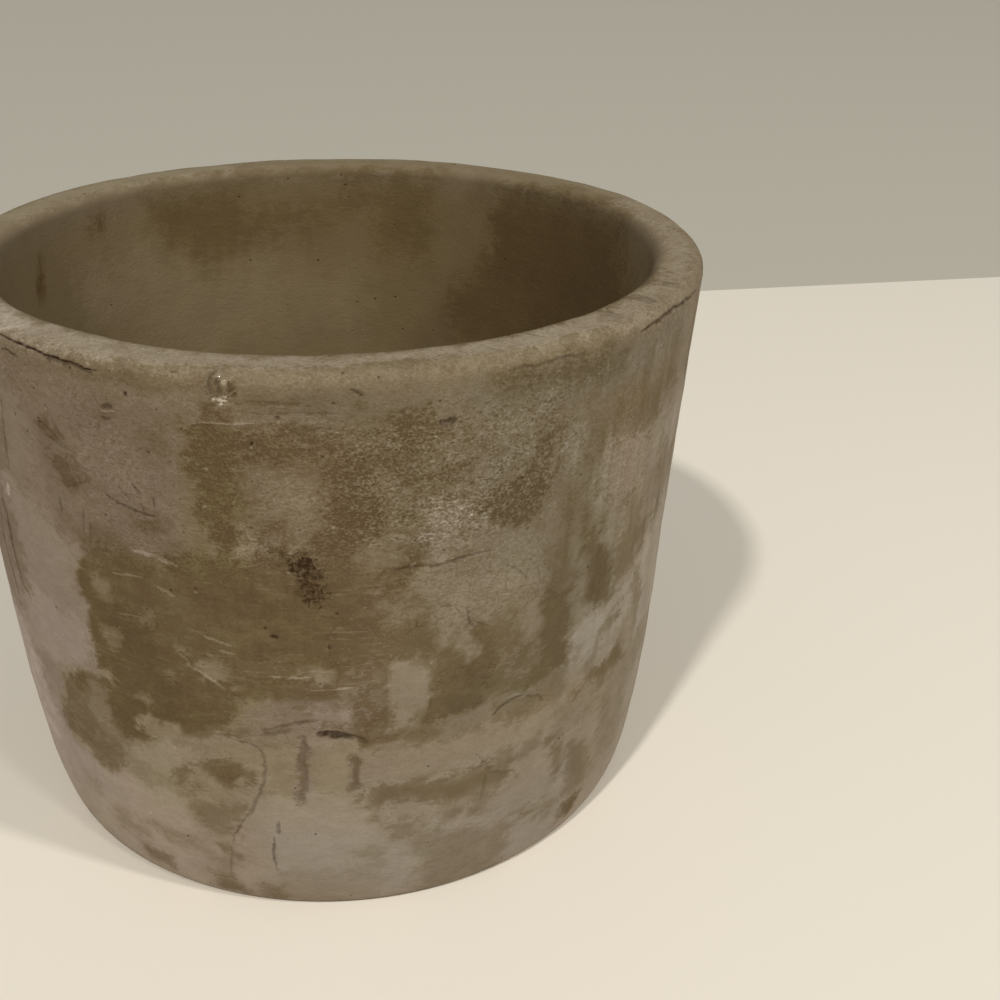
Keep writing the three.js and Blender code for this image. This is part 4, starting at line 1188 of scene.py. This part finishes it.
paintSet = {
    "restFleck": 0.3,
    "softGrow": 1.15,
    "softMore": 0.25,
    "crispFrom": 16,  # below this climb the patches' edges are less crisp
    "crispRun": 14,
    "footCrisp": 0.5,
    "layerRagged": 0.8,
    "backFrom": 85,  # degrees from the front
    "backRun": 15,
    "backGrain": 0.35,
    "backScuff": 0.3,
    "insideFrom": 93,
    "insideRun": 6,
    "insideEnd": 270,
}
wetLine = [(-5.9, 86.1), (-5.9, 84.4)]
wetWide = 2.2


def paintAll(mesh, surface):
    layers = {}
    tones = np.array(heightTones)
    layers["level"] = np.interp(surface.climb, tones[:, 0], tones[:, 1])
    for name in ("fleck", "border", "grain", "scuff", "crack", "streak", "stain", "tint", "cool"):
        layers[name] = np.zeros(len(surface.points))
    layers["fleck"] += paintSet["restFleck"]
    insideRows = []
    for name, tone, fleck, soft, ragged, line in insidePatches:
        insideRows.append((name, tone, fleck, soft, ragged, [(a, insideTop - z) for a, z in line]))
    for name, tone, fleck, soft, ragged, line in backPatches() + insideRows + wearPatches:
        near, share = surface.patch(line, soft * paintSet["softGrow"] + paintSet["softMore"], ragged)
        edge = (4 * share * (1 - share)) ** 2
        change = edge * abs(tone - layers["level"][near]) * min(1, 2 / (1 + soft))
        layers["border"][near] = np.maximum(layers["border"][near] * (1 - share), change)
        for layer, value in (("level", tone), ("fleck", fleck)):
            layers[layer][near] += share * (value - layers[layer][near])
    crisp = smooth((surface.climb - paintSet["crispFrom"]) / paintSet["crispRun"])
    layers["border"] *= paintSet["footCrisp"] + (1 - paintSet["footCrisp"]) * crisp
    for layer, rows in (
        ("grain", grainPatches),
        ("scuff", scuffPatches),
        ("crack", crackPatches),
        ("streak", streakPatches),
        ("stain", stainPatches),
        ("tint", tintPatches),
        ("cool", coolPatches),
    ):
        for amount, soft, line in rows:
            near, share = surface.patch(line, soft, paintSet["layerRagged"])
            layers[layer][near] += share * (amount - layers[layer][near])
    back = smooth((abs(surface.angles) - paintSet["backFrom"]) / paintSet["backRun"])
    back = back * (surface.climb < 84) * (surface.climb > 0)
    layers["grain"] = np.maximum(layers["grain"], paintSet["backGrain"] * back)
    layers["scuff"] = np.maximum(layers["scuff"], paintSet["backScuff"] * back)
    layers["dirt"] = np.maximum(dirt, 0)
    layers["chalk"] = np.maximum(-dirt, 0)
    inside = smooth((surface.climb - paintSet["insideFrom"]) / paintSet["insideRun"])
    layers["inside"] = inside * (surface.climb < paintSet["insideEnd"])
    near, share = surface.stroke(wetLine, wetWide, 0, 0.8)
    layers["wet"] = np.zeros(len(surface.points))
    layers["wet"][near] = share
    for name, values in layers.items():
        attribute = mesh.attributes.new(name, "FLOAT", "POINT")
        attribute.data.foreach_set("value", values.astype(np.float32))


paintAll(shell.data, surface)
print("wear painted")

concreteSet = {
    "tones": [(0, "5a4933"), (0.128, "66563d"), (0.32, "766752"), (0.52, "887a67"), (0.68, "958777"),
              (0.8, "a09283"), (1, "d4caba")],
    "toneScale": 0.8,  # a level of 1 is at 0.8 along the tones
    "mauve": (0.99, 0.972, 1.1),
    "green": (0.99, 1.01, 0.88),
    "cool": (0.93, 1.01, 1.08),
    "insideTint": (1.0, 0.96, 0.79),
    "stainColour": "2b1b07",
    "dirtAndShadeColour": "2c1a08",
    "darkIsland": 0.1,
    "paleIsland": 0.52,
    "cloudScale": 150,  # of the noises, from large to small
    "webScale": 300,
    "wispScale": 340,
    "poreScale": 430,
    "chanceScale": 900,
    "crumbScale": 1150,
    "laceScale": 1300,
    "grainScale": 2600,
    "lineStretch": (60, 60, 1900),
    "runStretch": (430, 430, 36),
    "coverLeast": 0.12,
    "islandEdge": 0.13,
    "dryRoughness": 0.9,
    "wetGloss": 0.5,
    "wetCoat": 0.4,
    "coatRoughness": 0.06,
    "specular": 0.12,
}


def concreteMaterial():
    paint = Paint("weatheredConcrete")
    level = paint.attribute("level")
    fleck = paint.attribute("fleck")
    grain = paint.attribute("grain")
    tint = paint.attribute("tint")
    wet = paint.attribute("wet")
    clouds = paint.noise(paint.place(), concreteSet["cloudScale"], 4, 0.55).spread(1.9)
    flatter = paint.place((1, 1, 1.9))
    wisps = paint.noise(flatter, concreteSet["wispScale"], 5, 0.64, 0.4).spread(2.4)
    aside = paint.place((1, 1, 1.6), (0.3, 0, 0))
    crumbs = paint.noise(aside, concreteSet["crumbScale"], 3, 0.6, 0.3).spread(2.3)
    behind = paint.place((1, 1, 1.2), (0, 0.7, 0))
    grains = paint.noise(behind, concreteSet["grainScale"], 2, 0.6).spread(2.2)
    lines = paint.noise(paint.place(concreteSet["lineStretch"], (5, 0, 0)), 1, 2, 0.55).spread(2.0)
    runs = paint.noise(paint.place(concreteSet["runStretch"], (0, 5, 0)), 1, 3, 0.6).spread(2.0)
    # Islands of pale skin on the bare brown: their share of the surface grows with the level.
    dark, pale = concreteSet["darkIsland"], concreteSet["paleIsland"]
    cover = ((level - dark) * (1 / (pale - dark))).within().atLeast(concreteSet["coverLeast"])
    ragged = (wisps * 0.52 + crumbs * 0.3 + grains * 0.18).spread(1.6)
    islands = paint.step(cover - ragged, -concreteSet["islandEdge"], concreteSet["islandEdge"])
    islandTone = (level.atLeast(pale) - dark) * islands + dark
    tone = level + fleck * (islandTone - level) * 0.9
    tone = tone + (paint.step(ragged, 0.4, 0.6) - 0.5) * paint.attribute("border") * 0.85
    inside = paint.attribute("inside")
    mottle = (fleck * 0.5 + 0.6) * (1 - inside * 0.5)
    tone = tone + ((clouds - 0.5) * 0.2 + (wisps - 0.5) * 0.2 + (crumbs - 0.5) * 0.1) * mottle
    tone = tone + (grains - 0.5) * (grain * 0.65 + 0.1) * (1 - inside * 0.7)
    tone = tone + (crumbs - 0.5) * grain * 0.5
    tone = tone + (runs - 0.5) * paint.attribute("streak") * 0.3
    scuffs = paint.attribute("scuff") * paint.step(lines, 0.62, 0.86) * paint.step(wisps, 0.3, 0.8)
    tone = tone + scuffs * 0.24
    webs = paint.node(
        "ShaderNodeTexVoronoi",
        {"feature": "DISTANCE_TO_EDGE"},
        {"Vector": paint.place((1, 1, 1.3)), "Scale": concreteSet["webScale"], "Randomness": 1.0},
    )
    web = 1 - paint.step(paint.wire(webs, "Distance"), 0.01, 0.07)
    tone = tone - paint.attribute("crack") * web * paint.step(wisps, 0.35, 0.75) * 0.22
    chalk = paint.step(paint.attribute("chalk") * 1.9 - crumbs * 0.5, 0.0, 0.5)
    tone = tone + chalk * 0.34
    pores = paint.node(
        "ShaderNodeTexVoronoi",
        inputs={"Vector": paint.place(), "Scale": concreteSet["poreScale"], "Randomness": 1.0},
    )
    chance = paint.noise(paint.wire(pores, "Position"), concreteSet["chanceScale"], 0, 0.5)
    spot = 1 - paint.step(paint.wire(pores, "Distance"), 0.05, 0.11)
    pore = spot * paint.step(chance, 0.63, 0.65)
    tone = tone + spot * paint.step(0.4 - chance, 0, 0.02) * 0.22
    colour = paint.wire(
        paint.node(
            "ShaderNodeValToRGB",
            {"stops": [(place, linear(shade)) for place, shade in concreteSet["tones"]]},
            {"Fac": (tone * concreteSet["toneScale"]).within()},
        )
    )
    white = (1, 1, 1, 1)
    tint = tint + (clouds - 0.5) * 0.7
    mauve = paint.blend((tint * -1.0).within(), white, concreteSet["mauve"] + (1,))
    green = paint.blend(tint.within(), white, concreteSet["green"] + (1,))
    insideTint = paint.blend(inside, white, concreteSet["insideTint"] + (1,))
    cool = paint.blend(paint.attribute("cool"), white, concreteSet["cool"] + (1,))
    for shade in (mauve, green, cool, insideTint):
        colour = paint.blend(1.0, colour, shade, "MULTIPLY")
    above = paint.place((1, 1, 1), (0, 0, 0.4))
    lace = paint.noise(above, concreteSet["laceScale"], 3, 0.7, 0.6).spread(1.9)
    stained = paint.step(paint.attribute("stain") - lace, -0.2, 0.4)
    colour = paint.blend(stained * 0.92, colour, linear(concreteSet["stainColour"]))
    # One dark colour for dirt and for the painted shade in the marks' hollows and in the pores.
    dirt = paint.attribute("dirt")
    dirt = (dirt * 1.35 - crumbs * dirt * 0.7).within().atLeast(pore * 0.6)
    colour = paint.blend(dirt * 0.92, colour, linear(concreteSet["dirtAndShadeColour"]))
    # The fine relief in mm.
    relief = islands * fleck * 0.05 + crumbs * (grain * 0.05 + 0.03)
    relief = relief + grains * (grain * 0.1 + 0.02) + wisps * 0.03
    relief = relief - pore * 0.12 - stained * 0.04 + chalk * 0.03
    bump = paint.node("ShaderNodeBump", inputs={"Height": relief, "Distance": mm, "Strength": 1.0})
    dry = concreteSet["dryRoughness"]
    shader = paint.node(
        "ShaderNodeBsdfPrincipled",
        inputs={
            "Base Color": colour,
            "Roughness": (dry - tone * 0.18 - wet * concreteSet["wetGloss"]).within(),
            "Coat Weight": wet * concreteSet["wetCoat"],
            "Coat Roughness": concreteSet["coatRoughness"],
            "Specular IOR Level": concreteSet["specular"],
            "Normal": paint.wire(bump),
        },
    )
    out = paint.node("ShaderNodeOutputMaterial")
    paint.join(paint.wire(shader), out.inputs["Surface"])
    return paint.material


shell.data.materials.append(concreteMaterial())
triangles = sum(len(face.vertices) - 2 for face in shell.data.polygons)
print("concrete made,", triangles, "triangles")

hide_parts("pot")
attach(shell, "root")
